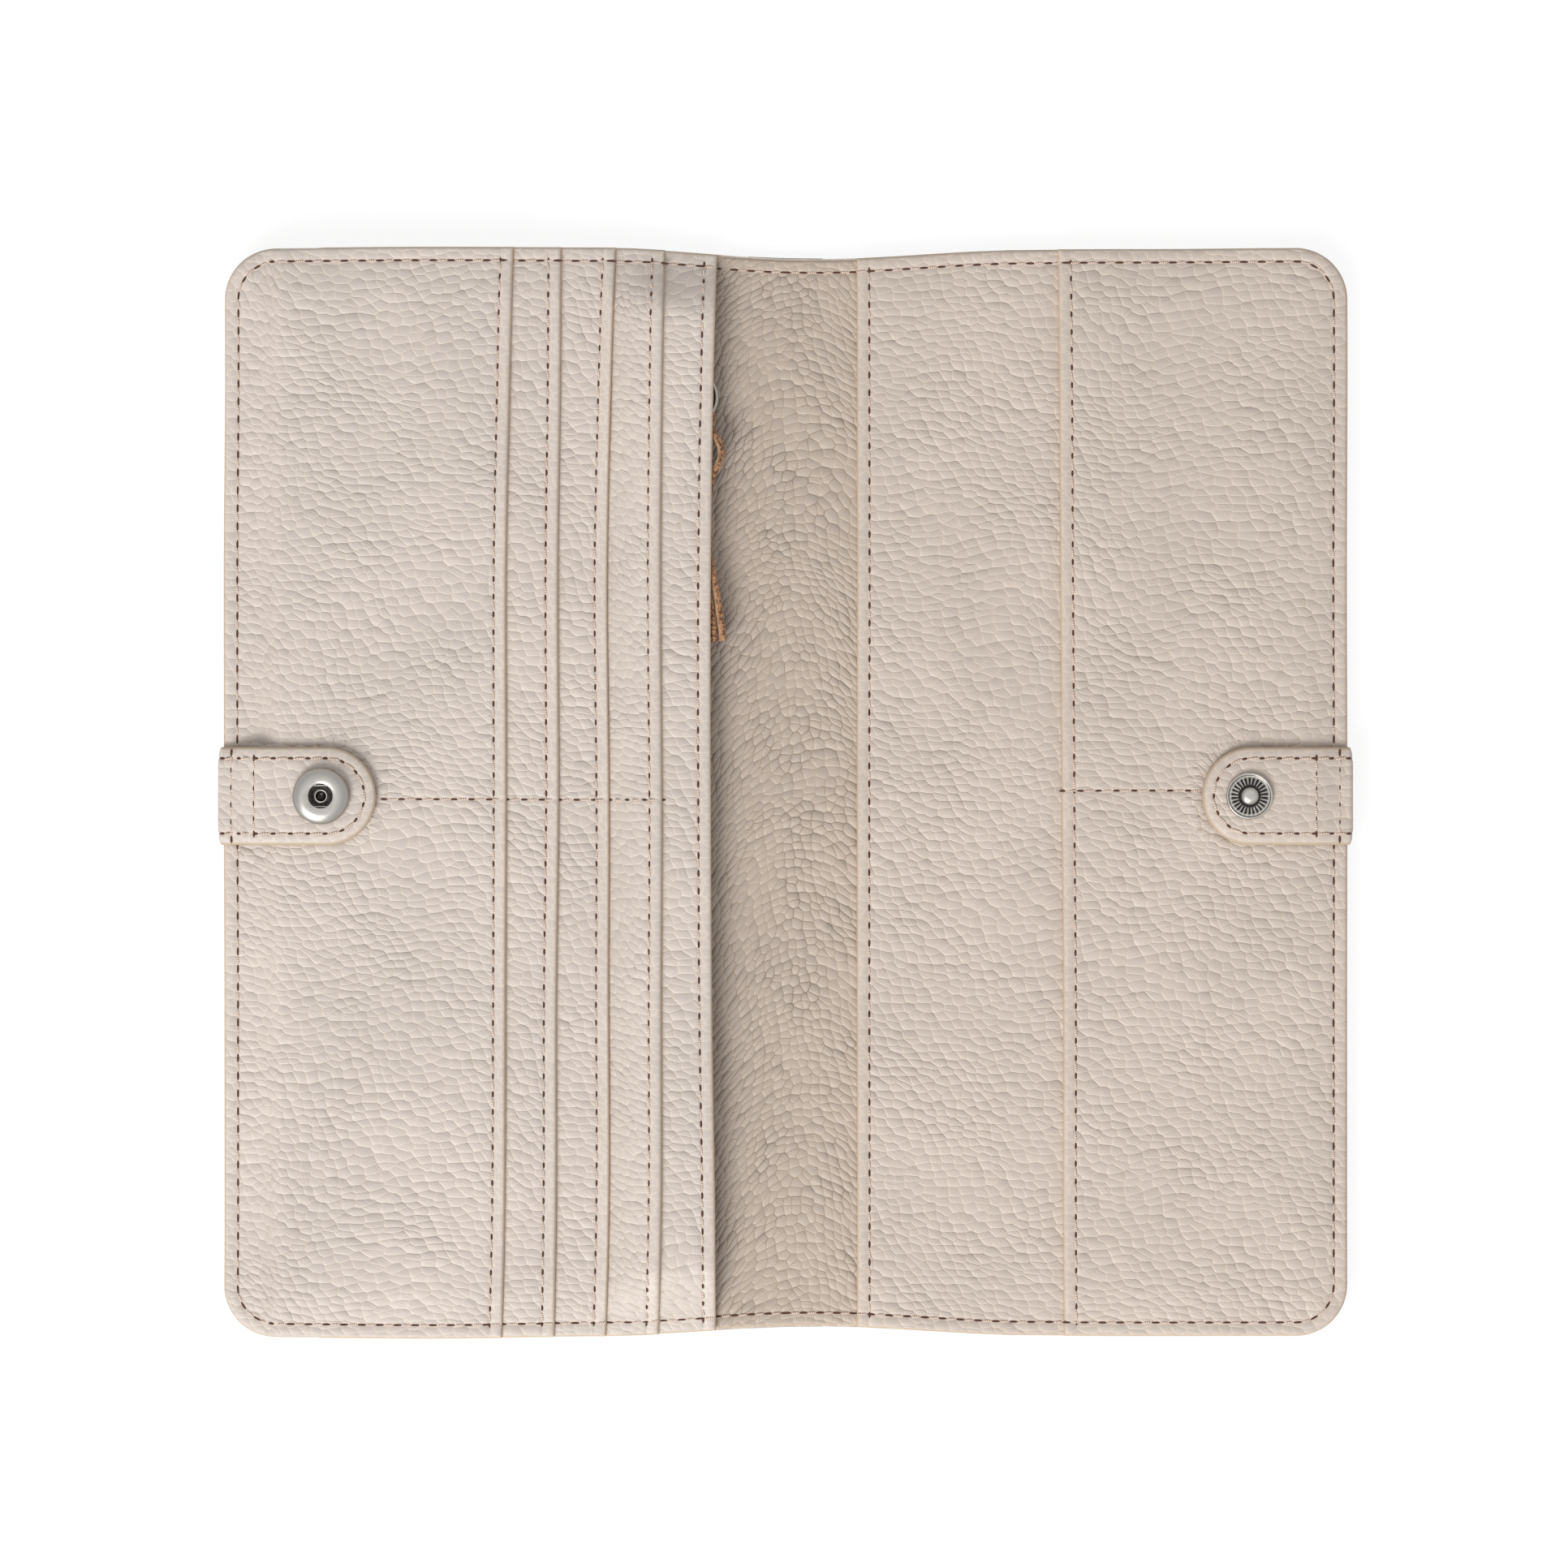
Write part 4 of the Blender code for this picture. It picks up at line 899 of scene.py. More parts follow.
        both = {k: np.concatenate([a.ravel(), a[:, picked].ravel()]) for k, a in marks.items()}
        points = np.concatenate([upper.reshape(-1, 3), lower.reshape(-1, 3)])
        piece = dress(make_piece(self.name + "_sewn", points, polygons, **both), self.finish, self.name)
        for body in bodies:
            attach(piece, body)
        return piece


def shell_polygons(shape: tuple[int, int], picked: Array, side: Side) -> list[Array]:
    """Faces of a closed shell between a fine upper grid and a lower grid of picked columns.

    Args:
        shape: rows and columns of the upper grid.
        picked: the upper grid's columns that the lower grid has.
        side: the cover, which says which way the columns run.
    Returns:
        Arrays of quads and of triangles, facing outwards.
    """
    rows, columns = shape
    under = rows * columns
    count = len(picked)
    upper = grid_quads(rows, columns)
    lower = grid_quads(rows, count, under)[:, ::-1]
    row = np.arange(rows - 1)
    first, second = row * columns, (row + 1) * columns
    low_first, low_second = under + row * count, under + (row + 1) * count
    near_wall = np.stack([first, second, low_second, low_first], -1)
    far_wall = np.stack([low_first, low_second, second, first], -1)
    far_wall = far_wall + np.array([count - 1, count - 1, columns - 1, columns - 1])
    ends = []
    for base, low_base, turn in ((0, under, 1), ((rows - 1) * columns, under + (rows - 1) * count, -1)):
        c = np.arange(columns - 1)
        part = np.searchsorted(picked, c, side="right") - 1
        fan = np.stack([low_base + part, base + c + 1, base + c], -1)
        k = np.arange(count - 1)
        foot = np.stack([low_base + k, low_base + k + 1, base + picked[1:]], -1)
        ends.append(np.concatenate([fan, foot])[:, ::turn])
    quads = np.concatenate([upper, lower, near_wall, far_wall])
    triangles = np.concatenate(ends)
    if side is Side.FRONT:
        quads, triangles = quads[:, ::-1], triangles[:, ::-1]
    return [quads, triangles]


@dataclass(frozen=True)
class Seam:
    """Stitches and needle holes along a path on the leather."""

    name: str
    pitch: float = 0.0031
    length: float = 0.0020
    radius: float = 0.00019
    bow: float = 0.00014
    lean: float = 0.10
    hole_length: float = 0.00070
    hole_width: float = 0.00023
    twists: float = 2.6
    settles: bool = True
    stations: int = 7
    sides: int = 6
    probe: float = 0.0004
    flatness: float = 0.75
    sunk: float = 0.00010
    hole_sunk: float = 0.00004

    def spots(self, path: Array, places: Callable[[int], Array]) -> tuple[Array, Array]:
        """Even places along a path, and the path's direction there.

        Args:
            path: points in x and y.
            places: gives the places' shares for a number of stitches.
        Returns:
            Points and unit directions in x and y.
        """
        run = np.concatenate([[0], np.cumsum(np.linalg.norm(np.diff(path, axis=0), axis=1))])
        count = max(int(round(run[-1] / self.pitch)), 1)
        at = places(count) / count * run[-1]
        points = np.stack([np.interp(at, run, path[:, k]) for k in (0, 1)], -1)
        ahead = np.stack([np.interp(at + self.probe, run, path[:, k]) for k in (0, 1)], -1)
        back = np.stack([np.interp(at - self.probe, run, path[:, k]) for k in (0, 1)], -1)
        direction = ahead - back
        return points, direction / np.linalg.norm(direction, axis=1, keepdims=True)

    def beads(
        self, spots: Array, direction: Array, level: Array, half: Array, wide: Array, up: Array
    ) -> Array:
        """Points of many small closed beads: rings round a short line, squeezed to its ends.

        Args:
            spots: middles in x and y.
            direction: unit directions in x and y.
            level: height at each middle.
            half: place of each station along the bead, from the middle.
            wide: radius at each station.
            up: rise of each station above the leather.
        Returns:
            Points by bead, station and side.
        """
        turn = np.arange(self.sides) / self.sides * 2 * np.pi - np.pi / 2
        normal = np.stack([-direction[:, 1], direction[:, 0]], -1)
        side = wide[:, None] * np.cos(turn)[None, :]
        rise = up[:, None] + self.flatness * wide[:, None] * np.sin(turn)[None, :]
        flat = (
            spots[:, None, None, :]
            + direction[:, None, None, :] * half[None, :, None, None]
            + normal[:, None, None, :] * side[None, :, :, None]
        )
        height = level[:, None, None] + rise[None, :, :]
        return np.concatenate([flat, height[..., None]], -1)

    def settled(self, spots: Array) -> Array:
        """The middles where the leather has settled, unless the seam is on a tab."""
        return np.stack(OUTLINE.settle(spots[:, 0], spots[:, 1]), -1) if self.settles else spots

    def bead_polygons(self, count: int) -> list[Array]:
        """Quads round each bead, and a cap at both of its ends."""
        each = self.stations * self.sides
        starts = np.arange(count)[:, None, None] * each
        quads = (grid_quads(self.stations, self.sides, ring=True)[None] + starts).reshape(-1, 4)
        ring = np.arange(self.sides)
        caps = np.concatenate([ring[None, ::-1], ring[None, :] + each - self.sides])
        return [quads[:, ::-1], (caps[None] + starts).reshape(-1, self.sides)[:, ::-1]]

    def build(self, path: Array, level: Level, ride: Ride) -> None:
        """Make the seam's thread and its needle holes.

        Args:
            path: points in x and y.
            level: gives the leather's height at places in x and y.
            ride: puts a piece on its body.
        """
        s = np.linspace(-1, 1, self.stations)
        spots, direction = self.spots(path, lambda n: np.arange(n) + 0.5)
        leant = direction * math.cos(self.lean)
        leant = leant + np.stack([-direction[:, 1], direction[:, 0]], -1) * math.sin(self.lean)
        wide = self.radius * np.sqrt(np.maximum(1 - s**6, 0.02))
        up = self.bow * (1 - s**2) - self.sunk
        here = level(spots[:, 0], spots[:, 1])
        points = self.beads(self.settled(spots), leant, here, s * self.length / 2, wide, up)
        twist = self.twists * s[:, None] + np.arange(self.sides)[None, :] / self.sides
        twist = np.broadcast_to(twist, points.shape[:3])
        thread = make_piece(self.name + "_thread", points, self.bead_polygons(len(spots)), twist=twist)
        ride(dress(thread, THREAD))
        # Each needle hole is a dark bead of painted shade sunk in the leather.
        spots, direction = self.spots(path, lambda n: np.arange(n + 1.0))
        wide = self.hole_width * np.sqrt(np.maximum(1 - s**2, 0.01))
        here = level(spots[:, 0], spots[:, 1])
        sunk = 0 * s - self.hole_sunk
        points = self.beads(self.settled(spots), direction, here, s * self.hole_length, wide, sunk)
        holes = make_piece(self.name + "_holes", points, self.bead_polygons(len(spots)))
        ride(dress(holes, NEEDLE_HOLE_SHADE))


def rider(body: str) -> Ride:
    """A call that puts a piece on this body."""
    return lambda piece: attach(piece, body)


@dataclass(frozen=True)
class Fold:
    """The crease of the shell between a cover and the spine."""

    side: Side
    from_cover: float = 0.0118
    to_spine: float = 0.0022

    def bend(self, piece: bpy.types.Object) -> bpy.types.Object:
        """Bake a piece's place into its mesh."""
        body = self.side.cover
        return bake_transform(piece)


@dataclass(frozen=True)
class Shell:
    """Outer leather and lining of one half, which meets the other half in the middle of the spine."""

    side: Side
    step: float = 0.0008
    rim_turn: float = 0.0016
    rim_level: float = 0.0019
    board_level: float = 0.00105
    lip: float = 0.00055
    lip_from: float = 0.0012
    lip_ramp: float = 0.0016
    valley: float = 0.00025
    valley_width: float = 0.009
    lining_depth: float = 0.0007
    middle_drop: float = 0.00050
    middle_width: float = 0.012

    def lining(self) -> Ply:
        """The lining: seen between the panels, and covered from there on."""
        base = STACK.shell

        def top(across: Array, v: Array) -> Array:
            """The face: a shallow valley along the spine."""
            return base - self.valley * bell(across, self.valley_width) + 0 * v

        def low(across: Array, v: Array) -> Array:
            """The underside, lower in the middle."""
            return base - self.lining_depth - self.middle_drop * bell(across, self.middle_width) + 0 * v

        return Ply(
            self.side.word + "_lining", self.side, (0.0,) * 4, top, low, LINING_LEATHER, 0.0165,
            inset=0.0002, hemmed=False, seed=2.0,
        )

    def build_lining(self) -> None:
        """Make the lining's half."""
        ply = self.lining()
        piece = ply.build()
        smooth_middle(piece)
        Fold(self.side).bend(piece)

    def build_outer(self) -> None:
        """Make the outer leather's half: flat below, turned up round the layers at the rim."""
        name = self.side.word + "_outer_leather"
        columns = np.concatenate([
            np.arange(0, 0.0962, self.step),
            OUTLINE.half_width - np.array([0.0014, 0.001, 0.0007, 0.0005, 0.0003, 0.00015, 0.00005, 0]),
        ])
        v, column = np.meshgrid(OUTLINE.rows(self.step), columns, indexing="ij")
        x = self.side.value * column * OUTLINE.reach_at(v) / OUTLINE.half_width
        y = v * OUTLINE.height_at(x) / OUTLINE.half_height
        near = np.maximum(OUTLINE.depth(x, y), 0)
        turn = 1 - np.clip(near / self.rim_turn, 0, 1)
        plain = 0.6 * (1 - smooth((near - HEM.plain_to) / HEM.plain_fade))
        level = self.rim_level * (1 - np.sqrt(1 - turn**2))
        level = level + HEM.furrow * bell(near - HEM.rim_stitch, HEM.furrow_width)
        rise = self.rim_level + self.lip - self.board_level - self.middle_drop * bell(x, self.middle_width)
        inside = self.board_level + rise * smooth(1 - (near - self.lip_from) / self.lip_ramp)
        x, y = OUTLINE.settle(x, y)
        face = np.stack([x, y, np.maximum(level, 0.0)], -1)
        picked = np.append(np.arange(0, len(columns) - 16, 9), np.arange(len(columns) - 15, len(columns)))
        inner = np.stack([x, y, inside], -1)[:, picked]
        polygons = [p[:, ::-1] for p in shell_polygons(face.shape[:2], picked, self.side)]
        marks = {"plain": plain, "rim": 0 * near + 1}
        both = {k: np.concatenate([a.ravel(), a[:, picked].ravel()]) for k, a in marks.items()}
        points = np.concatenate([face.reshape(-1, 3), inner.reshape(-1, 3)])
        piece = dress(make_piece(name + "_turned", points, polygons, **both), OUTER_LEATHER, name)
        smooth_middle(piece)
        Fold(self.side).bend(piece)


def smooth_middle(piece: bpy.types.Object) -> None:
    """Straighten the normals along x on the seam in the middle, where two halves meet."""
    mesh = piece.data
    count = len(mesh.vertices)
    normals = np.zeros(count * 3, np.float32)
    mesh.vertices.foreach_get("normal", normals)
    places = np.zeros(count * 3, np.float32)
    mesh.vertices.foreach_get("co", places)
    normals, places = normals.reshape(-1, 3), places.reshape(-1, 3)
    middle = (np.abs(places[:, 0]) < 1e-6) & (np.abs(normals[:, 2]) > 0.5)
    normals[middle, 0] = 0
    normals /= np.linalg.norm(normals, axis=1, keepdims=True)
    mesh.normals_split_custom_set_from_vertices(normals)


class Covers:
    """All sewn layers of both covers, and their seams."""

    front_divider: float = -0.0011
    back_divider: float = 0.0002
    front_divider_run: tuple[float, float] = (0.0698, 0.0214)
    back_divider_run: tuple[float, float] = (0.0484, 0.0732)
    hem_end: float = 0.0928
    rim_start: float = 0.0150
    spine_run: tuple[float, float] = (0.0002, 0.0148)
    overlap: float = 0.00006
    tab_end: tuple[float, float, float] = (-0.0808, -0.0006, 0.0089)
    coin_edge: float = 0.0222
    slip_edge: float = 0.01245
    card_edge: tuple[float, ...] = (0.04767, 0.0480, 0.0482, 0.04852)
    backing_edge: tuple[float, ...] = (0.01195, 0.01296, 0.01298, 0.01215)
    pocket_edges: ClassVar[dict[str, tuple[float, ...]]] = {
        "card_pocket_4": (0.02108, 0.02164, 0.02150, 0.02207),
        "card_pocket_3": (0.02971, 0.03091, 0.03084, 0.03126),
        "card_pocket_2": (0.03919, 0.03947, 0.03961, 0.04025),
        "card_pocket_1": (0.04753, 0.04852, 0.04866, 0.04937),
    }

    def __init__(self) -> None:
        """Set out the layers from the lowest to the topmost."""
        self.shells = {side: Shell(side) for side in Side}
        self.front = [self.shells[Side.FRONT].lining(), *self.front_panels(), *self.pockets()]
        self.back = [self.shells[Side.BACK].lining(), *self.back_panels()]

    def front_panels(self) -> list[Ply]:
        """The coin pocket's panel, and the card backing that arches over the zip."""
        sunk = STACK.gap + self.overlap
        coin = Ply(
            "coin_pocket_panel", Side.FRONT, (self.coin_edge,) * 4, STACK.coin,
            lambda a, v: STACK.coin(a, v) - STACK.panel(a, v) - sunk,
            LINING_LEATHER, 0.030, inset=0.00012, seed=3.0,
        )
        backing = Ply(
            "card_backing_panel", Side.FRONT, self.backing_edge, STACK.backing,
            lambda a, v: STACK.backing_low(a, v) - sunk * (1 - STACK.arch(a, v)),
            FRONT_LEATHER, 0.0235, inset=0.00006, covered_from=self.pocket_edges["card_pocket_4"], seed=4.0,
        )
        return [coin, backing]

    def pockets(self) -> list[Ply]:
        """The stepped card pockets, from the spine outwards."""
        sunk = STACK.gap + self.overlap
        edges = list(self.pocket_edges.values())
        made = []
        for index, (name, edge) in enumerate(self.pocket_edges.items()):
            last = index == len(edges) - 1
            made.append(Ply(
                name, Side.FRONT, edge,
                lambda a, v, i=index: STACK.pocket_top(i, a, v),
                lambda a, v, i=index, shut=last: STACK.pocket_low(i, a, v) - sunk - shut * STACK.seal(a, v),
                FRONT_LEATHER, 0.0965 if last else edge[1] + 0.0105,
                reach=OUTLINE.half_width if last else STACK.pocket_end,
                covered_from=() if last else edges[index + 1], divided_at=self.front_divider,
                seed=5.0 + index, pressed_by=self.tab_end if last else None,
                close_from=STACK.pocket_end - 0.0006 if last else 1.0,
            ))
        return made

    def back_panels(self) -> list[Ply]:
        """The slip pocket's panel, and the divided card panel on it."""
        slip = Ply(
            "bill_slip_panel", Side.BACK, (self.slip_edge,) * 4, lambda a, v: STACK.back_top(0, a, v),
            lambda a, v: 0 * a + STACK.shell - self.overlap,
            BACK_LEATHER, 0.0500, inset=0.00006, covered_from=self.card_edge, seed=10.0,
        )
        card = Ply(
            "back_card_panel", Side.BACK, self.card_edge, lambda a, v: STACK.back_top(1, a, v),
            lambda a, v: STACK.back_top(0, a, v) - self.overlap,
            BACK_LEATHER, 0.0965, divided_at=self.back_divider, seed=11.0, pressed_by=self.tab_end,
        )
        return [slip, card]

    def level(self, x: Array, y: Array) -> Array:
        """Height of the topmost layer at these places, without the grain."""
        best = np.full(x.shape, -1.0)
        for side, plies in ((Side.FRONT, self.front), (Side.BACK, self.back)):
            for ply in plies:
                face, _ = ply.face(x, y)
                beyond = np.abs(x) > ply.edge_at(ply.along(x, y))
                there = beyond & (np.sign(x + 1e-9 * side.value) == side.value)
                best = np.where(there, np.maximum(best, face), best)
        return best

    def build(self) -> None:
        """Make every layer and every seam of the covers."""
        for side, plies in ((Side.FRONT, self.front), (Side.BACK, self.back)):
            self.shells[side].build_outer()
            self.shells[side].build_lining()
            for ply in plies[1:]:
                ply.build(side.cover)
            self.sew_edges(side, plies)
            self.sew_rim(side)
        self.sew_divider(Side.FRONT, self.front_divider, self.front_divider_run, 60)
        self.sew_divider(Side.BACK, self.back_divider, self.back_divider_run, 40)

    def sew_edges(self, side: Side, plies: Sequence[Ply]) -> None:
        """Sew the hem behind each panel's inner edge, from rim to rim."""
        v = np.linspace(-self.hem_end, self.hem_end, 90)
        for ply in plies[1:]:
            if ply.name == "coin_pocket_panel":
                continue
            x = side.value * (ply.edge_at(v) + HEM.stitch)
            y = v * OUTLINE.height_at(x) / OUTLINE.half_height
            Seam(ply.name + "_hem").build(np.stack([x, y], -1), self.level, rider(side.cover))

    def sew_rim(self, side: Side) -> None:
        """Sew round the rim: the cover's part rides on it, and the spine's two ends are sewn as their own
        seams.
        """
        path = OUTLINE.path(side, self.rim_start, HEM.rim_stitch)
        sewn = Seam(side.word + "_rim", length=0.0018, radius=0.00021, hole_length=0.00088)
        sewn.build(path, self.level, rider(side.cover))
        x = side.value * np.linspace(*self.spine_run, 30)
        for end, word in ((-1, "lower"), (1, "upper")):
            y = end * (OUTLINE.height_at(x) - HEM.rim_stitch)
            sewn = replace(sewn, name=f"{side.word}_spine_{word}")
            sewn.build(np.stack([x, y], -1), self.level, Fold(side).bend)

    def sew_divider(self, side: Side, place: float, run: tuple[float, float], count: int) -> None:
        """Sew the cross stitch that divides one cover's pockets.

        Args:
            side: the cover.
            place: where the seam lies along the spine.
            run: distances from the spine of its two ends.
            count: number of points on its path.
        """
        x = side.value * np.linspace(*run, count)
        path = np.stack([x, 0 * x + place], -1)
        Seam(side.word + "_divider").build(path, self.level, rider(side.cover))

@dataclass(frozen=True)
class Strap:
    """A closing tab: two plies from the rim to a round end, turned down over the cover's edge."""

    side: Side
    finish: Leather
    middle: float = -0.0006
    half_width: float = 0.00855
    stitch: float = 0.0020
    cross_stitch: float = 0.0925
    rim_stitch: float = 0.0966
    turn_radius: float = 0.0009
    over_rim: float = 0.0016
    flat_to: float = 0.0915
    bend_from: float = 0.0950
    bend_to: float = 0.0905
    over_inset: float = 0.0010
    skive: float = 0.00045
    skive_width: float = 0.0024

    @property
    def word(self) -> str:
        """The cover's word in the names of nodes."""
        return self.side.word

    def level(self) -> tuple[float, float, float]:
        """Levels of the lower ply's underside, of the joint between the plies and of the top."""
        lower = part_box(self.word + "_tab_lower_ply")
        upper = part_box(self.word + "_tab_upper_ply")
        return lower[0].z - 0.00025, (lower[1].z + upper[0].z) / 2, upper[1].z

    def ends(self) -> tuple[float, float]:
        """Distances of the tip and of the turned edge from the spine."""
        low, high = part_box(self.word + "_tab_upper_ply")
        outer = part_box(self.word + "_tab_turn")
        tip = min(abs(low.x), abs(high.x))
        return tip, max(abs(outer[0].x), abs(outer[1].x))

    def centre_line(self, inset: float, drop: float) -> tuple[Array, Array, Array]:
        """The strap's path seen from the side, from its tip over the rim and down.

        Args:
            inset: how far the path lies below the strap's top face.
            drop: the level at which it ends.
        Returns:
            Distances from the spine, heights, and half widths.
        """
        tip, outer = self.ends()
        top = self.level()[2] - inset
        radius = self.half_width
        turn = np.linspace(0.02, np.pi / 2, 22)
        nose = tip + radius * (1 - np.cos(turn))
        run = np.linspace(nose[-1], self.flat_to, 34)[1:]
        rim = self.rim_level() - inset
        slope_x = np.linspace(self.flat_to, outer - self.turn_radius, 16)[1:]
        share = smooth((slope_x - self.flat_to) / (outer - self.turn_radius - self.flat_to))
        slope_z = top + (rim - top) * share
        bend = np.linspace(0, np.pi / 2, 9)[1:]
        radius_in = self.turn_radius - inset
        bend_x = outer - self.turn_radius + radius_in * np.sin(bend)
        bend_z = self.rim_level() - self.turn_radius + radius_in * np.cos(bend)
        down = np.linspace(bend_z[-1], drop, 9)[1:]
        across = np.concatenate([nose, run, slope_x, bend_x, 0 * down + bend_x[-1]])
        height = np.concatenate([0 * nose + top, 0 * run + top, slope_z, bend_z, down])
        half = np.full(len(across), radius)
        half[: len(nose)] = radius * np.sin(turn)
        return across, height, half

    def rim_level(self) -> float:
        """Height of the strap's top where it turns down over the rim."""
        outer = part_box(self.word + "_tab_turn")
        place = np.array(OUTLINE.half_width), np.array(0.0)
        base = STACK.pocket_top(3, *place) if self.side is Side.FRONT else STACK.back_top(1, *place)
        return min(float(base) + self.over_rim, outer[1].z)

    def ply(self, name: str, top_inset: float, low_inset: float, drop: float, nodes: Sequence[str]) -> None:
        """Make one ply of the strap as a closed sheet that follows the strap's path.

        Args:
            name: the piece's name.
            top_inset: how far its upper face lies below the strap's top.
            low_inset: how far its underside lies below the strap's top.
            drop: the level at which it ends.
            nodes: the nodes that it stands for.
        """
        edge = np.concatenate([[1, 0.997, 0.99, 0.978, 0.96], np.linspace(0.93, -0.93, 44)])
        w = np.concatenate([edge, [-0.96, -0.978, -0.99, -0.997, -1]])
        layers = []
        for inset in (top_inset, low_inset):
            across, height, half = self.centre_line(inset, drop)
            tip = self.ends()[0]
            x = across[:, None] + 0 * w[None, :]
            y = self.middle + half[:, None] * w[None, :]
            layers.append(np.stack([self.side.value * x, y, height[:, None] + 0 * w[None, :]], -1))
        upper, lower = layers
        off = half[:, None] * w[None, :]
        flat = np.hypot(np.minimum(across[:, None] - tip - self.half_width, 0), off)
        near = np.maximum(self.half_width - np.maximum(flat, np.abs(off)), 0)
        plain = 1 - 0.75 * smooth((near - 0.0012) / 0.0010)
        relief = 0.00008 * bell(near - 0.0009, 0.0006)
        relief = relief - HEM.furrow * bell(near - self.stitch, HEM.furrow_width)
        thick = low_inset - top_inset
        roll = 0.42 * thick * (1 - np.sqrt(1 - (1 - np.clip(near / (0.6 * thick), 0, 1)) ** 2))
        low, _, top = self.level()
        whole = top - low
        skive = self.skive * (1 - smooth(near / self.skive_width)) / whole
        outward = strap_normals(upper, self.side)
        rise = (relief if top_inset == 0 else 0) - roll - skive * (whole - top_inset)
        upper = upper + outward * rise[..., None]
        lower = lower + outward * (roll - skive * (whole - low_inset))[..., None]
        rows, columns = near.shape
        under = rows * columns
        face = grid_quads(rows, columns)
        back = grid_quads(rows, columns, under)[:, ::-1]
        loop = np.concatenate([
            np.arange(columns), np.arange(1, rows) * columns + columns - 1,
            (rows - 1) * columns + np.arange(columns - 2, -1, -1), np.arange(rows - 2, 0, -1) * columns,
        ])
        after = np.roll(loop, -1)
        wall = np.stack([loop, loop + under, after + under, after], -1)
        quads = np.concatenate([face, back, wall])
        if self.side is Side.BACK:
            quads = quads[:, ::-1]
        marks = {"plain": plain, "rim": near}
        both = {k: np.concatenate([a.ravel(), a.ravel()]) for k, a in marks.items()}
        points = np.concatenate([upper.reshape(-1, 3), lower.reshape(-1, 3)])
        piece = dress(make_piece(name, points, [quads], **both), self.finish, *nodes)
        self.bend(piece)

    def bend(self, piece: bpy.types.Object) -> bpy.types.Object:
        """Bake a piece's place into its mesh."""
        start = (self.side.value * self.bend_from, self.middle, self.level()[2])
        end = (self.side.value * self.bend_to, self.middle, self.level()[2])
        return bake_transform(piece, self.word + "_cover", self.word + "_tab", start, end)

    def build(self) -> None:
        """Make both plies and the seams."""
        low, joint, top = self.level()
        name = self.word + "_tab"
        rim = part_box(name + "_turn")[0].z
        self.ply(name + "_upper_strap", 0.0, top - joint, rim, (name + "_upper_ply", name + "_turn"))
        self.ply(name + "_lower_strap", top - joint + 0.00002, top - low, rim, (name + "_lower_ply",))
        edge = Seam(name + "_edge", pitch=0.0030, length=0.0023, hole_length=0.00050, settles=False)
        edge.build(self.seam_path(), self.top_at, self.bend)
        over = Seam(name + "_over", settles=False)
        over.build(self.line_over(self.rim_stitch, self.over_inset), self.top_at, self.bend)
        cross = Seam(name + "_cross", pitch=0.0028, radius=0.00025, settles=False)
        cross.build(self.line_over(self.cross_stitch, self.stitch), self.top_at, self.bend)

    def line_over(self, place: float, inset: float) -> Array:
        """A line over the strap at a distance from the spine, ending inset from both edges."""
        y = np.linspace(-1, 1, 20) * (self.half_width - inset) + self.middle
        return np.stack([0 * y + self.side.value * place, y], -1)

    def seam_path(self) -> Array:
        """The tab's seam from above: along one side, round the end and back to the rim."""
        tip, outer = self.ends()
        radius = self.half_width - self.stitch
        turn = np.linspace(-np.pi / 2, np.pi / 2, 30)
        straight = np.linspace(outer - 0.0008, tip + self.half_width, 20)
        x = np.concatenate([straight[:-1], tip + self.half_width - radius * np.cos(turn), straight[::-1][1:]])
        y = np.concatenate([0 * straight[:-1] - radius, radius * np.sin(turn), 0 * straight[1:] + radius])
        return np.stack([self.side.value * x, y + self.middle], -1)

    def top_at(self, x: Array, y: Array) -> Array:
        """Height of the strap's seam at places in x and y."""
        across, height, _ = self.centre_line(0.0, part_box(self.word + "_tab_turn")[0].z)
        upper = height > self.rim_level() - self.turn_radius
        return np.interp(np.abs(x), across[upper], height[upper]) - HEM.furrow * 0.6


def strap_normals(grid: Array, side: Side) -> Array:
    """Outward direction of a strap's upper face, from the slope of its path."""
    step = np.gradient(grid, axis=0)
    along = step / np.maximum(np.linalg.norm(step, axis=-1, keepdims=True), 1e-12)
    normal = np.stack([-along[..., 2], 0 * along[..., 0], along[..., 0]], -1) * side.value
    return normal / np.maximum(np.linalg.norm(normal, axis=-1, keepdims=True), 1e-12)


def revolve(profile: Array, centre: Sequence[float], turns: int, ripple: Array | None = None) -> Array:
    """Turn a profile of radius and height about a vertical axis.

    Args:
        profile: radius and height of each point.
        centre: the axis in x and y.
        turns: number of places round the axis.
        ripple: a rise for each profile point and place, added to the height.
    Returns:
        Points by profile point and place.
    """
    turn = np.arange(turns) / turns * 2 * np.pi
    radius, height = profile[:, 0, None], profile[:, 1, None] + 0 * turn[None, :]
    if ripple is not None:
        height = height + ripple
    return np.stack([centre[0] + radius * np.cos(turn), centre[1] + radius * np.sin(turn), height], -1)


def rounded(corners: Sequence[tuple[float, float, float]], facets: int = 5) -> Array:
    """A profile through corners of radius, height and rounding, each corner eased by a short curve.

    A corner's curve is the parabola between the points at its rounding's distance before and
    after it.
    """
    points = np.array(corners)[:, :2]
    out = [points[0]]
    for i in range(1, len(points) - 1):
        cut = corners[i][2]
        back, ahead = points[i - 1] - points[i], points[i + 1] - points[i]
        start = points[i] + back * min(cut / np.linalg.norm(back), 0.49)
        stop = points[i] + ahead * min(cut / np.linalg.norm(ahead), 0.49)
        s = np.linspace(0, 1, facets)[:, None]
        out.extend((1 - s) ** 2 * start + 2 * s * (1 - s) * points[i] + s**2 * stop)
    out.append(points[-1])
    return np.array(out)


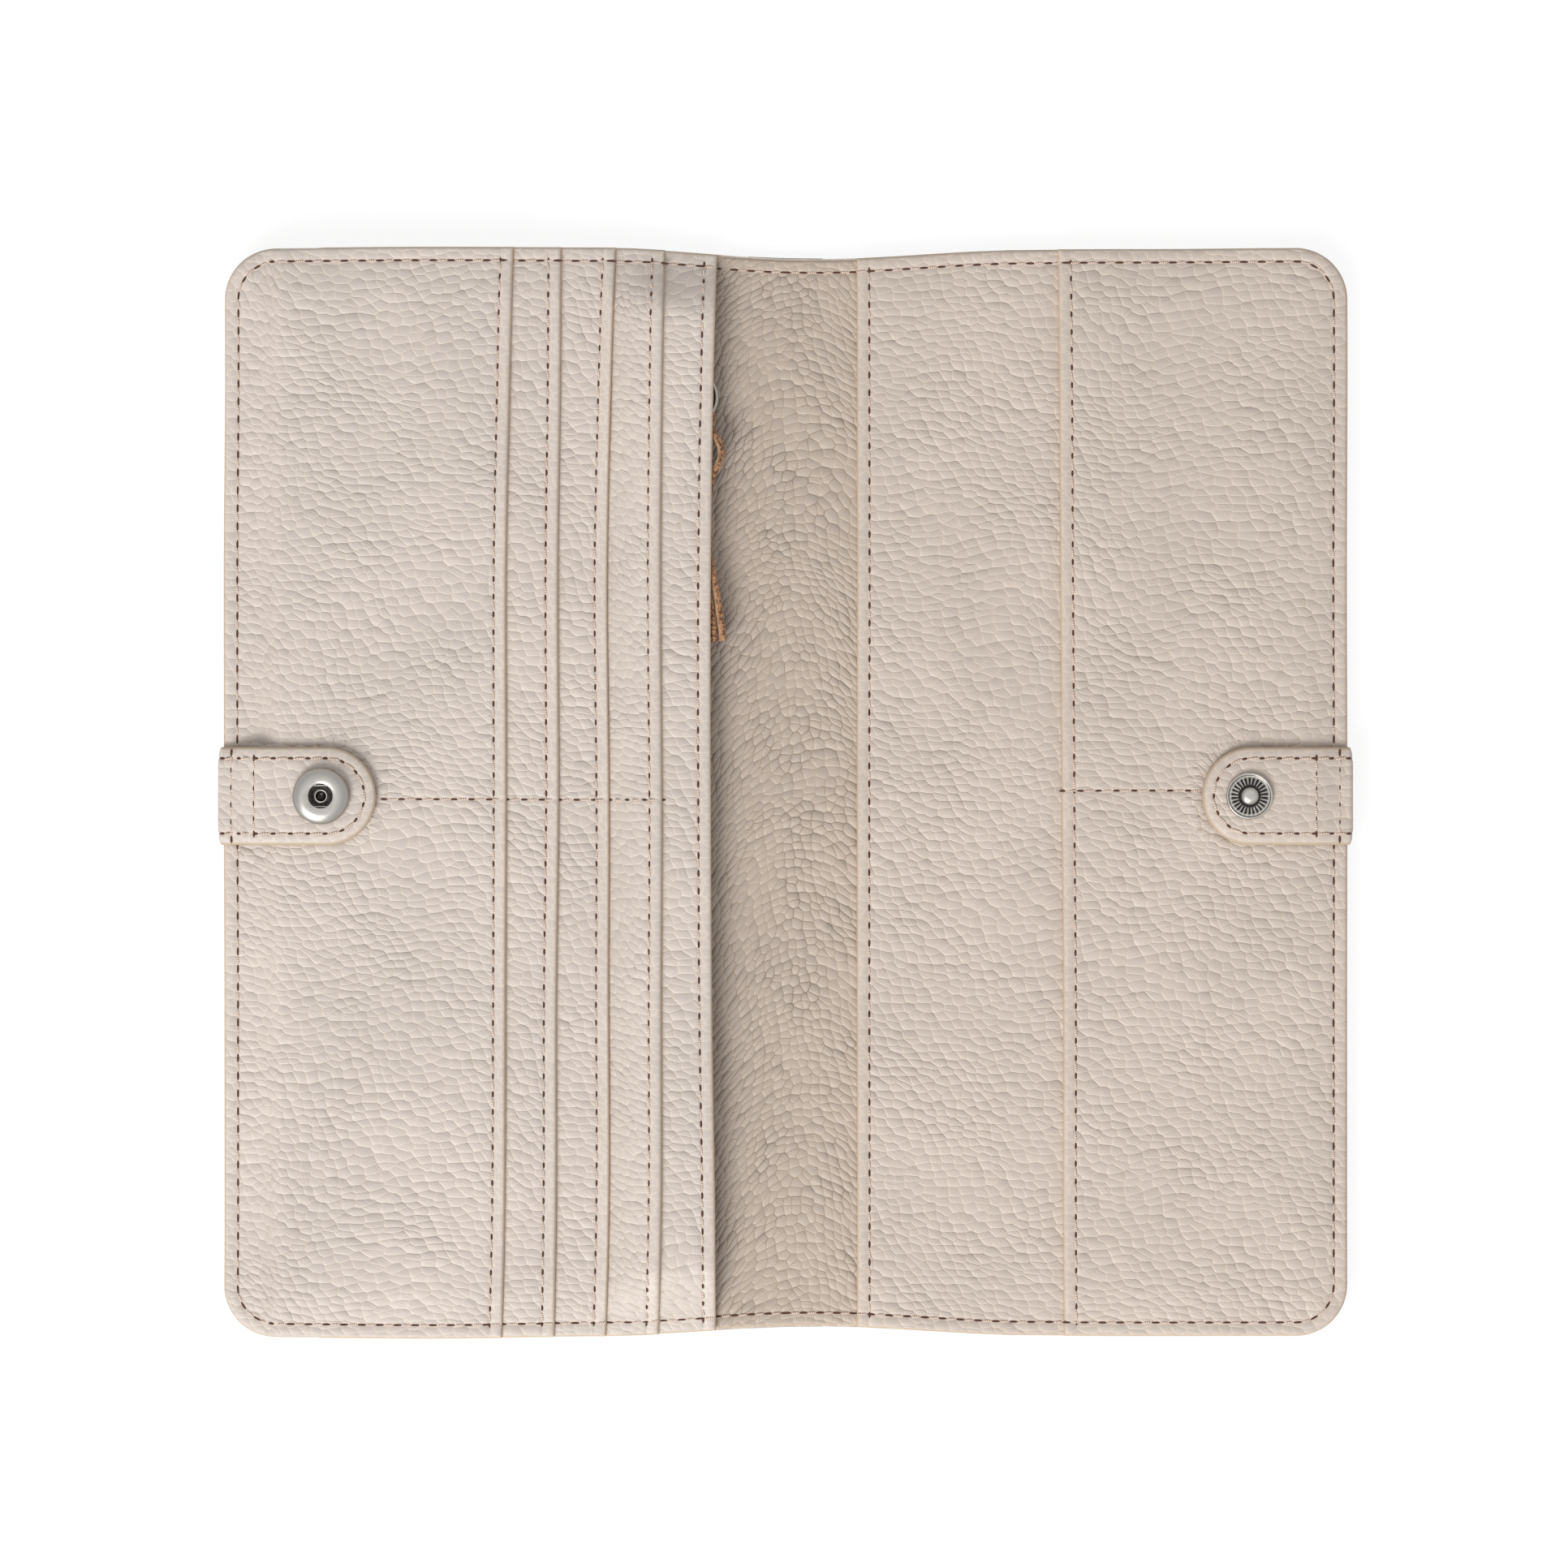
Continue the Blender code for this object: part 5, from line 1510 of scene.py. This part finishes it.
def capped(rows: int, sides: int) -> list[Array]:
    """Faces of a tube of rings, with a cap at both of its ends."""
    ring = np.arange(sides)
    return [grid_quads(rows, sides, ring=True), ring[None, ::-1], ring[None, :] + (rows - 1) * sides]

def squared(wave: Array, power: float) -> Array:
    """A wave with flattened tops: its sign times its size to a power."""
    return np.sign(wave) * np.abs(wave) ** power

@dataclass(frozen=True)
class PressStud:
    """Socket with its spring on the front tab, and the fluted stud on the back one."""

    place_x: float = 0.0808
    place_y: float = -0.0006
    turns: int = 104
    flutes: int = 26
    flute_depth: float = 0.00014

    def turned(
        self, name: str, profile: Array, side: Side, grime: Array, ripple: Array | None = None
    ) -> bpy.types.Object:
        """Make a turned piece whose profile closes on itself or ends in two flat caps.

        Args:
            name: the piece's name.
            profile: radius and height of each point.
            side: the tab that the piece is on.
            grime: how dark each profile point is, by painted shade with some soiling, in one column or in one
                for each place round.
            ripple: a rise for each profile point and place.
        Returns:
            The new object, without a finish.
        """
        points = revolve(profile, (side.value * self.place_x, self.place_y), self.turns, ripple)
        rows = len(profile)
        polygons = capped(rows, self.turns)
        if np.allclose(profile[0], profile[-1]):
            points, grime = points[:-1], grime[:-1]
            polygons = [polygons[0] % ((rows - 1) * self.turns)]
        return make_piece(name, points, polygons, grime=np.broadcast_to(grime, points.shape[:2]))

    def build_socket(self) -> None:
        """The domed socket cap, its sunk eyelet and the two spring runs across its mouth."""
        low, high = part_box("socket_body")
        radius, top = (high.x - low.x) / 2, high.z
        foot = low.z - 0.0003
        corners = [
            (0.0033, foot + 0.0007, 0), (0.0033, top - 0.00062, 0.0002), (0.00215, top - 0.00060, 0.00012),
            (0.00205, top - 0.00022, 0.0003), (0.0026, top, 0.0004), (0.0036, top - 0.00002, 0.0011),
            (radius, top - 0.00075, 0.00095), (radius + 0.00004, foot + 0.00035, 0.0003),
            (radius - 0.0003, foot, 0.00012), (0.0014, foot, 0.0002), (0.0014, foot + 0.0007, 0.0002),
            (0.0033, foot + 0.0007, 0),
        ]
        profile = rounded(corners, 6)
        across, height = profile.T
        # Painted shade: darker inside the sunk eyelet, near the foot and under the cap.
        inner = smooth((0.0026 - across) / 0.0003) * (height < top - 0.0003)
        inner = np.maximum(inner, smooth((foot + 0.0006 - height) / 0.0004) * 0.8)
        grime = np.maximum(inner, 0.9 * (height < top - 0.0007) * (across < 0.0034))
        # Painted dark reflection: a darker ring on the sloping shoulder, the same all round.
        shoulder = 0.34 * bell(across - (radius - 0.0007), 0.0009) * (height > foot + 0.0005)
        grime = np.maximum(grime, shoulder)
        body = self.turned("socket_cap", profile[::-1], Side.FRONT, grime[::-1, None])
        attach(dress(body, SNAP_METAL, "socket_body"), "front_tab")
        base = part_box("socket_eyelet")
        tube = [
            (0.00125, base[0].z, 0), (0.004, base[0].z, 0.0001), (0.004, base[0].z + 0.0004, 0.0001),
            (0.00125, base[0].z + 0.00045, 0.0001), (0.00125, base[1].z, 0.00012),
            (0.0010, base[1].z + 0.0001, 0.0001), (0.00085, base[1].z, 0.0001),
            (0.00085, low.z + 0.0006, 0), (0.00085, low.z + 0.0005, 0),
        ]
        profile = rounded(tube, 4)
        across, height = profile.T
        # Painted shade: the tube darker lower down and all through its bore.
        grime = np.maximum(smooth((base[1].z - height) / 0.0009), 1.0 * (across < 0.00095))
        body = self.turned("socket_tube", profile, Side.FRONT, grime[:, None])
        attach(dress(body, SNAP_METAL, "socket_eyelet"), "front_tab")
        self.build_spring()

    def build_spring(self) -> None:
        """The spring: a wire bent into a loop with two straight runs and rounded ends."""
        low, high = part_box("socket_spring")
        wire = (high.z - low.z) / 2
        level = (high.z + low.z) / 2
        half, run = (high.x - low.x) / 2 - wire, (high.y - low.y) / 2 - wire
        turn = np.linspace(0, 2 * np.pi, 80, endpoint=False)
        x = half * squared(np.cos(turn), 0.35)
        y = run * squared(np.sin(turn), 0.35)
        path = np.stack([x - self.place_x, y + self.place_y, 0 * x + level], -1)
        piece = wire_loop("socket_spring_wire", path, wire, 8)
        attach(dress(piece, SNAP_METAL, "socket_spring"), "front_tab")

    def build_stud(self) -> None:
        """The stud: rolled rim, fluted dish and the bulb on its neck."""
        low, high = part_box("stud_body")
        radius, foot, tip = (high.x - low.x) / 2, low.z - 0.0002, high.z
        rim = low.z + 0.0006
        dish = low.z + 0.00022
        corners = [
            (0.0, foot + 0.0001, 0), (radius - 0.0002, foot + 0.00005, 0.0001),
            (radius + 0.00003, foot + 0.0004, 0.0002), (radius - 0.0001, rim - 0.0001, 0.0002),
            (radius - 0.00028, rim + 0.00003, 0.0002), (radius - 0.00046, rim - 0.0001, 0.0001),
            (radius - 0.00056, dish + 0.0001, 0.0001), (0.0027, dish + 0.0001, 0.0004),
            (0.0019, dish + 0.0002, 0.0003), (0.00135, dish + 0.0003, 0.0002),
            (0.00128, dish + 0.0006, 0.0002), (0.00154, dish + 0.0011, 0.0004),
            (0.0015, tip - 0.00045, 0.00045), (0.0008, tip - 0.00002, 0.0007), (0.0, tip, 0),
        ]
        profile = rounded(corners, 6)[1:-1]
        across, height = profile.T
        turn = np.arange(self.turns) / self.turns * 2 * np.pi
        wave = 0.5 + 0.5 * np.cos(self.flutes * turn)
        band = smooth((across - 0.00175) / 0.0003) * smooth((radius - 0.00066 - across) / 0.00012)
        band = band * (height > foot + 0.0002)
        ripple = band[:, None] * self.flute_depth * wave[None, :] ** 0.7
        # Painted shade: the flutes' grooves darker, a dark ring at the neck, and the bulb darker towards its
        # sides.
        grime = band[:, None] * smooth((0.78 - wave[None, :]) / 0.3)
        neck = smooth((0.0022 - across) / 0.0003) * (height < dish + 0.0008)
        bulb = 0.5 * smooth((across - 0.0007) / 0.0009) * (across < 0.0018)
        neck = np.maximum(neck, bulb * (height > dish + 0.0008))
        body = self.turned("stud_face", profile, Side.BACK, np.maximum(grime, neck[:, None]), ripple)
        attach(dress(body, SNAP_METAL, "stud_body"), "back_tab")

    def build(self) -> None:
        """Make both halves of the press stud."""
        self.build_socket()
        self.build_stud()


def wire_loop(name: str, path: Array, radius: float, sides: int) -> bpy.types.Object:
    """A round wire along a flat path that closes on itself.

    Args:
        name: the piece's name.
        path: points along the wire's middle, all at one height.
        radius: the wire's radius.
        sides: number of places round the wire.
    Returns:
        The new object, without a finish.
    """
    ahead = np.roll(path, -1, 0) - np.roll(path, 1, 0)
    ahead /= np.linalg.norm(ahead, axis=1, keepdims=True)
    side = np.cross(ahead, np.array([0.0, 0.0, 1.0]))
    side /= np.maximum(np.linalg.norm(side, axis=1, keepdims=True), 1e-12)
    lift = np.cross(side, ahead)
    turn = np.arange(sides) / sides * 2 * np.pi
    points = path[:, None] + radius * (
        side[:, None] * np.cos(turn)[None, :, None] + lift[:, None] * np.sin(turn)[None, :, None]
    )
    rows = len(path)
    quads = grid_quads(rows + 1, sides, ring=True) % (rows * sides)
    return make_piece(name, points, [quads], grime=np.zeros(points.shape[:2]))

@dataclass(frozen=True)
class ZipPull:
    """Ring and suede lace of the coin pocket's zip."""

    ring_x: float = -0.0163813
    ring_y: float = 0.0689033
    ring_radius: float = 0.0043
    lace_on_ring: float = -50.0
    ply: float = 0.00125
    lace_height: float = 0.0030
    lace_length: float = 0.0392
    sway: float = 0.0018
    behind: float = 0.0011
    knots: tuple[tuple[float, float], ...] = (
        (0, 0), (0.05, -0.15), (0.09, 0.2), (0.13, 0.6), (0.17, 0.7), (0.22, 0.5), (0.29, -0.1),
        (0.44, -0.42), (0.62, -0.22), (0.78, 0.5), (1.0, 1.14),
    )

    @property
    def outward(self) -> Array:
        """Direction from the ring's middle to the lace."""
        turn = math.radians(self.lace_on_ring)
        return np.array([math.cos(turn), math.sin(turn)])

    def build_ring(self) -> None:
        """The ring, as a round wire."""
        low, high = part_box("pull_ring")
        turn = np.linspace(0, 2 * np.pi, 96, endpoint=False)
        x = self.ring_x + self.ring_radius * np.cos(turn)
        y = self.ring_y + self.ring_radius * np.sin(turn)
        path = np.stack([x, y, 0 * x + (low.z + high.z) / 2], -1)
        piece = wire_loop("pull_ring_wire", path, (high.z - low.z) / 2, 16)
        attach(dress(piece, ZIP_METAL, "pull_ring"), "ring")

    def middle_line(self) -> tuple[Array, Array]:
        """The doubled lace's middle, a smooth curve through its knots, and the point where it starts.

        A knot is a share of the lace's length and a share of its sway to the side.
        """
        eye = np.array([self.ring_x, self.ring_y]) + self.ring_radius * self.outward
        shares = np.array(self.knots)
        knots = eye + np.stack([self.sway * shares[:, 1], -self.lace_length * shares[:, 0]], -1)
        fine = np.linspace(0, 1, 70)
        x = np.interp(fine, shares[:, 0], knots[:, 0])
        kernel = np.exp(-np.linspace(-1.6, 1.6, 7) ** 2)
        padded = np.concatenate([[x[0]] * 3, x, x[-1] + (x[-1] - x[-2]) * np.arange(1, 4)])
        x = np.convolve(padded, kernel / kernel.sum(), "valid")
        return np.stack([x, eye[1] - self.lace_length * fine], -1), eye

    def build_lace(self) -> None:
        """The lace: one strip, up one side, round the ring's wire and down the other side."""
        line, eye = self.middle_line()
        step = np.gradient(line, axis=0)
        step /= np.linalg.norm(step, axis=1, keepdims=True)
        normal = np.stack([-step[:, 1], step[:, 0]], -1)
        down = (eye[1] - line[:, 1]) / self.lace_length
        apart = self.ply * 0.53 + 0.00062 * bell(down - 0.155, 0.055) + 0.00030 * smooth((0.05 - down) / 0.05)
        right = (line + normal * apart[:, None])[::-1]
        left = line - normal * apart[:, None]
        middle, half = (right[-1] + left[0]) / 2, (left[0] - right[-1]) / 2
        sweep = np.linspace(0, np.pi, 13)[1:-1, None]
        loop = middle - half * np.cos(sweep) - self.outward * self.behind * 1.25 * np.sin(sweep)
        path = np.concatenate([right, loop, left])
        low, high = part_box("pull_lace")
        level = (low.z + high.z) / 2
        ahead = np.gradient(path, axis=0)
        ahead /= np.maximum(np.linalg.norm(ahead, axis=1, keepdims=True), 1e-12)
        side = np.stack([ahead[:, 1], -ahead[:, 0]], -1)
        corner = np.linspace(0, 2 * np.pi, 24, endpoint=False)
        flat, tall = squared(np.cos(corner), 0.45), squared(np.sin(corner), 0.45)
        across = path[:, None, :] + side[:, None, :] * (flat * self.ply / 2)[None, :, None]
        height = level + (tall * self.lace_height / 2)[None, :] + 0 * across[..., 0]
        points = np.concatenate([across, height[..., None]], -1)
        run = np.arange(len(path))[:, None] * 0.0006
        rough = 0.00008 * drift(run + 0 * height, corner[None, :] * 0.0008 + 0 * run, 0.0004, 31.0)
        way = np.sign(flat)
        push = np.stack([side[:, None, 0] * way, side[:, None, 1] * way, 0 * height + np.sign(tall)], -1)
        points = points + rough[..., None] * push
        polygons = capped(len(path), len(corner))
        skin = np.clip(-flat, 0, 1)[None, :] * (np.arange(len(path)) < len(right))[:, None]
        piece = make_piece("lace_strip", points, polygons, skin=skin)
        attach(dress(piece, SUEDE, "pull_lace"), "lace")

    def build(self) -> None:
        """Make the pull's ring and lace."""
        self.build_ring()
        self.build_lace()


@dataclass(frozen=True)
class Zip:
    """The zip's woven tapes, in place of the plain ones."""

    cord: float = 0.00035

    def tape(self, node: str) -> None:
        """Weave one tape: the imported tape's own section, with a corded edge beside the teeth."""
        low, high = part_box(node)
        spine = node.endswith("spine")
        inner, outer = (low.x, high.x) if spine else (high.x, low.x)
        s = np.linspace(0, 1, 15)
        x = inner + (outer - inner) * s
        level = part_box("zip_tape_front")[0].z
        fall = smooth((s - 0.5) / 0.5) * (level - low.z) if spine else 0 * s
        cord = self.cord * bell((s - 0.06) * abs(outer - inner), 0.0004)
        thick = 0.00032
        top = level - fall + thick + cord * 0.6
        bottom = level - fall - cord * 0.4
        section = np.concatenate([np.stack([x, top], -1), np.stack([x, bottom], -1)[::-1]])
        y = np.linspace(low.y, high.y, 120)
        across, along = section[None, :, 0] + 0 * y[:, None], y[:, None] + 0 * section[None, :, 0]
        height = section[None, :, 1] + 0.00004 * drift(across, along, 0.006, 5.0)
        points = np.stack([across, along, height], -1)
        polygons = capped(len(y), len(section))
        if spine:
            polygons = [p[:, ::-1] for p in polygons]
        piece = make_piece(node + "_woven", points, polygons)
        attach(dress(piece, TAPE, node), "front_cover")

    def build(self) -> None:
        """Make both tapes."""
        self.tape("zip_tape_front")
        self.tape("zip_tape_spine")


def repaint(node: str, finish: Finish) -> None:
    """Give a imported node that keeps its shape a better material."""
    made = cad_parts[node]
    made.data.materials.clear()
    made.data.materials.append(finish.material())


@dataclass(frozen=True)
class Studio:
    """Pale floor, plain soft light and the camera straight above."""

    frame_width: float = 0.2733
    aim_x: float = -0.0003
    aim_y: float = 0.0015
    distance: float = 1.20
    sensor: float = 36.0
    sky: float = 0.50
    lamp_power: float = 28.6
    lamp_size: float = 1.0
    lamp_place: tuple[float, float, float] = (-0.70, -1.22, 1.31)
    floor_half: float = 3.0
    floor_level: float = -0.0001
    floor_seen: float = 0.15
    floor_bounce: float = 0.70
    floor_white: float = 1.03

    def camera(self) -> None:
        """A lens whose view is as wide as the photograph: sensor times distance over width."""
        lens = bpy.data.cameras.new("camera")
        lens.sensor_width = self.sensor
        lens.lens = self.sensor * self.distance / self.frame_width
        lens.clip_start, lens.clip_end = 0.05, 20.0
        made = bpy.data.objects.new("camera", lens)
        made.location = (self.aim_x, self.aim_y, self.distance + 0.006)
        bpy.context.scene.collection.objects.link(made)
        bpy.context.scene.camera = made

    def rays(self, shader: Shader) -> bpy.types.NodeSocket:
        """One for rays from the camera, off metal or through glass, else nothing."""
        path = shader.node("LightPath", {}).outputs
        seen = shader.math("MAXIMUM", path["Is Camera Ray"], path["Is Glossy Ray"])
        return shader.math("MAXIMUM", seen, path["Is Transmission Ray"])

    def floor(self) -> None:
        """A wide floor that looks white where nothing shades it."""
        half, low = self.floor_half, self.floor_level
        points = np.array([[-half, -half, low], [half, -half, low], [half, half, low], [-half, half, low]])
        made = make_piece("floor", points, [np.array([[0, 1, 2, 3]])])
        shader = Shader("floor")
        seen = self.rays(shader)
        tone = shader.span(seen, 0.0, 1.0, self.floor_bounce, self.floor_seen)
        glow = shader.math("MULTIPLY", seen, self.floor_white - self.floor_seen)
        made.data.materials.append(
            shader.finish(base_color=tone, roughness=0.9, specular_ior_level=0.0,
                          emission_color=(1, 1, 1, 1), emission_strength=glow)
        )

    def light(self) -> None:
        """An even sky, and one large soft lamp from the lower left."""
        world = bpy.data.worlds.new("studio")
        world.use_nodes = True
        bpy.context.scene.world = world
        shader = Shader("studio", world.node_tree)
        strength = shader.span(self.rays(shader), 0.0, 1.0, self.sky, 1.0)
        shader.put(world.node_tree.nodes["Background"].inputs["Strength"], strength)
        world.node_tree.nodes["Background"].inputs["Color"].default_value = (1, 1, 1, 1)
        lamp = bpy.data.lights.new("soft_lamp", "AREA")
        lamp.energy, lamp.size = self.lamp_power, self.lamp_size
        made = bpy.data.objects.new("soft_lamp", lamp)
        made.location = self.lamp_place
        x, y, z = self.lamp_place
        made.rotation_euler = (math.atan2(math.hypot(x, y), z), 0, math.atan2(x, -y))
        bpy.context.scene.collection.objects.link(made)

    def build(self) -> None:
        """Set up the camera, the light and the floor."""
        self.camera()
        self.light()
        self.floor()
        bpy.context.scene.view_settings.view_transform = "Standard"


def main() -> None:
    """Build the wallet's sub-assemblies in order, and log the number of imported nodes."""
    logging.basicConfig(level=logging.INFO, format="%(name)s %(message)s")
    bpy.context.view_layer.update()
    Studio().build()
    Covers().build()
    Strap(Side.FRONT, FRONT_TAB_LEATHER).build()
    Strap(Side.BACK, BACK_TAB_LEATHER).build()
    PressStud().build()
    Zip().build()
    ZipPull().build()
    zip_parts = (
        "zip_teeth_front", "zip_teeth_spine", "zip_top_stop_front", "zip_top_stop_spine",
        "zip_bottom_stop", "zip_slider",
    )
    for finish, nodes in (
        (ZIP_METAL, zip_parts), (SNAP_METAL, ("stud_post",)),
        (BOARD, ("front_board", "back_board")), (INTERLINING, ("spine_interlining",)),
    ):
        for node in nodes:
            repaint(node, finish)
    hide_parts("spine_outer_leather")
    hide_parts("spine_lining")
    LOG.info("%d packed nodes in the frame", len(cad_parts))


if __name__ == "__main__":
    main()
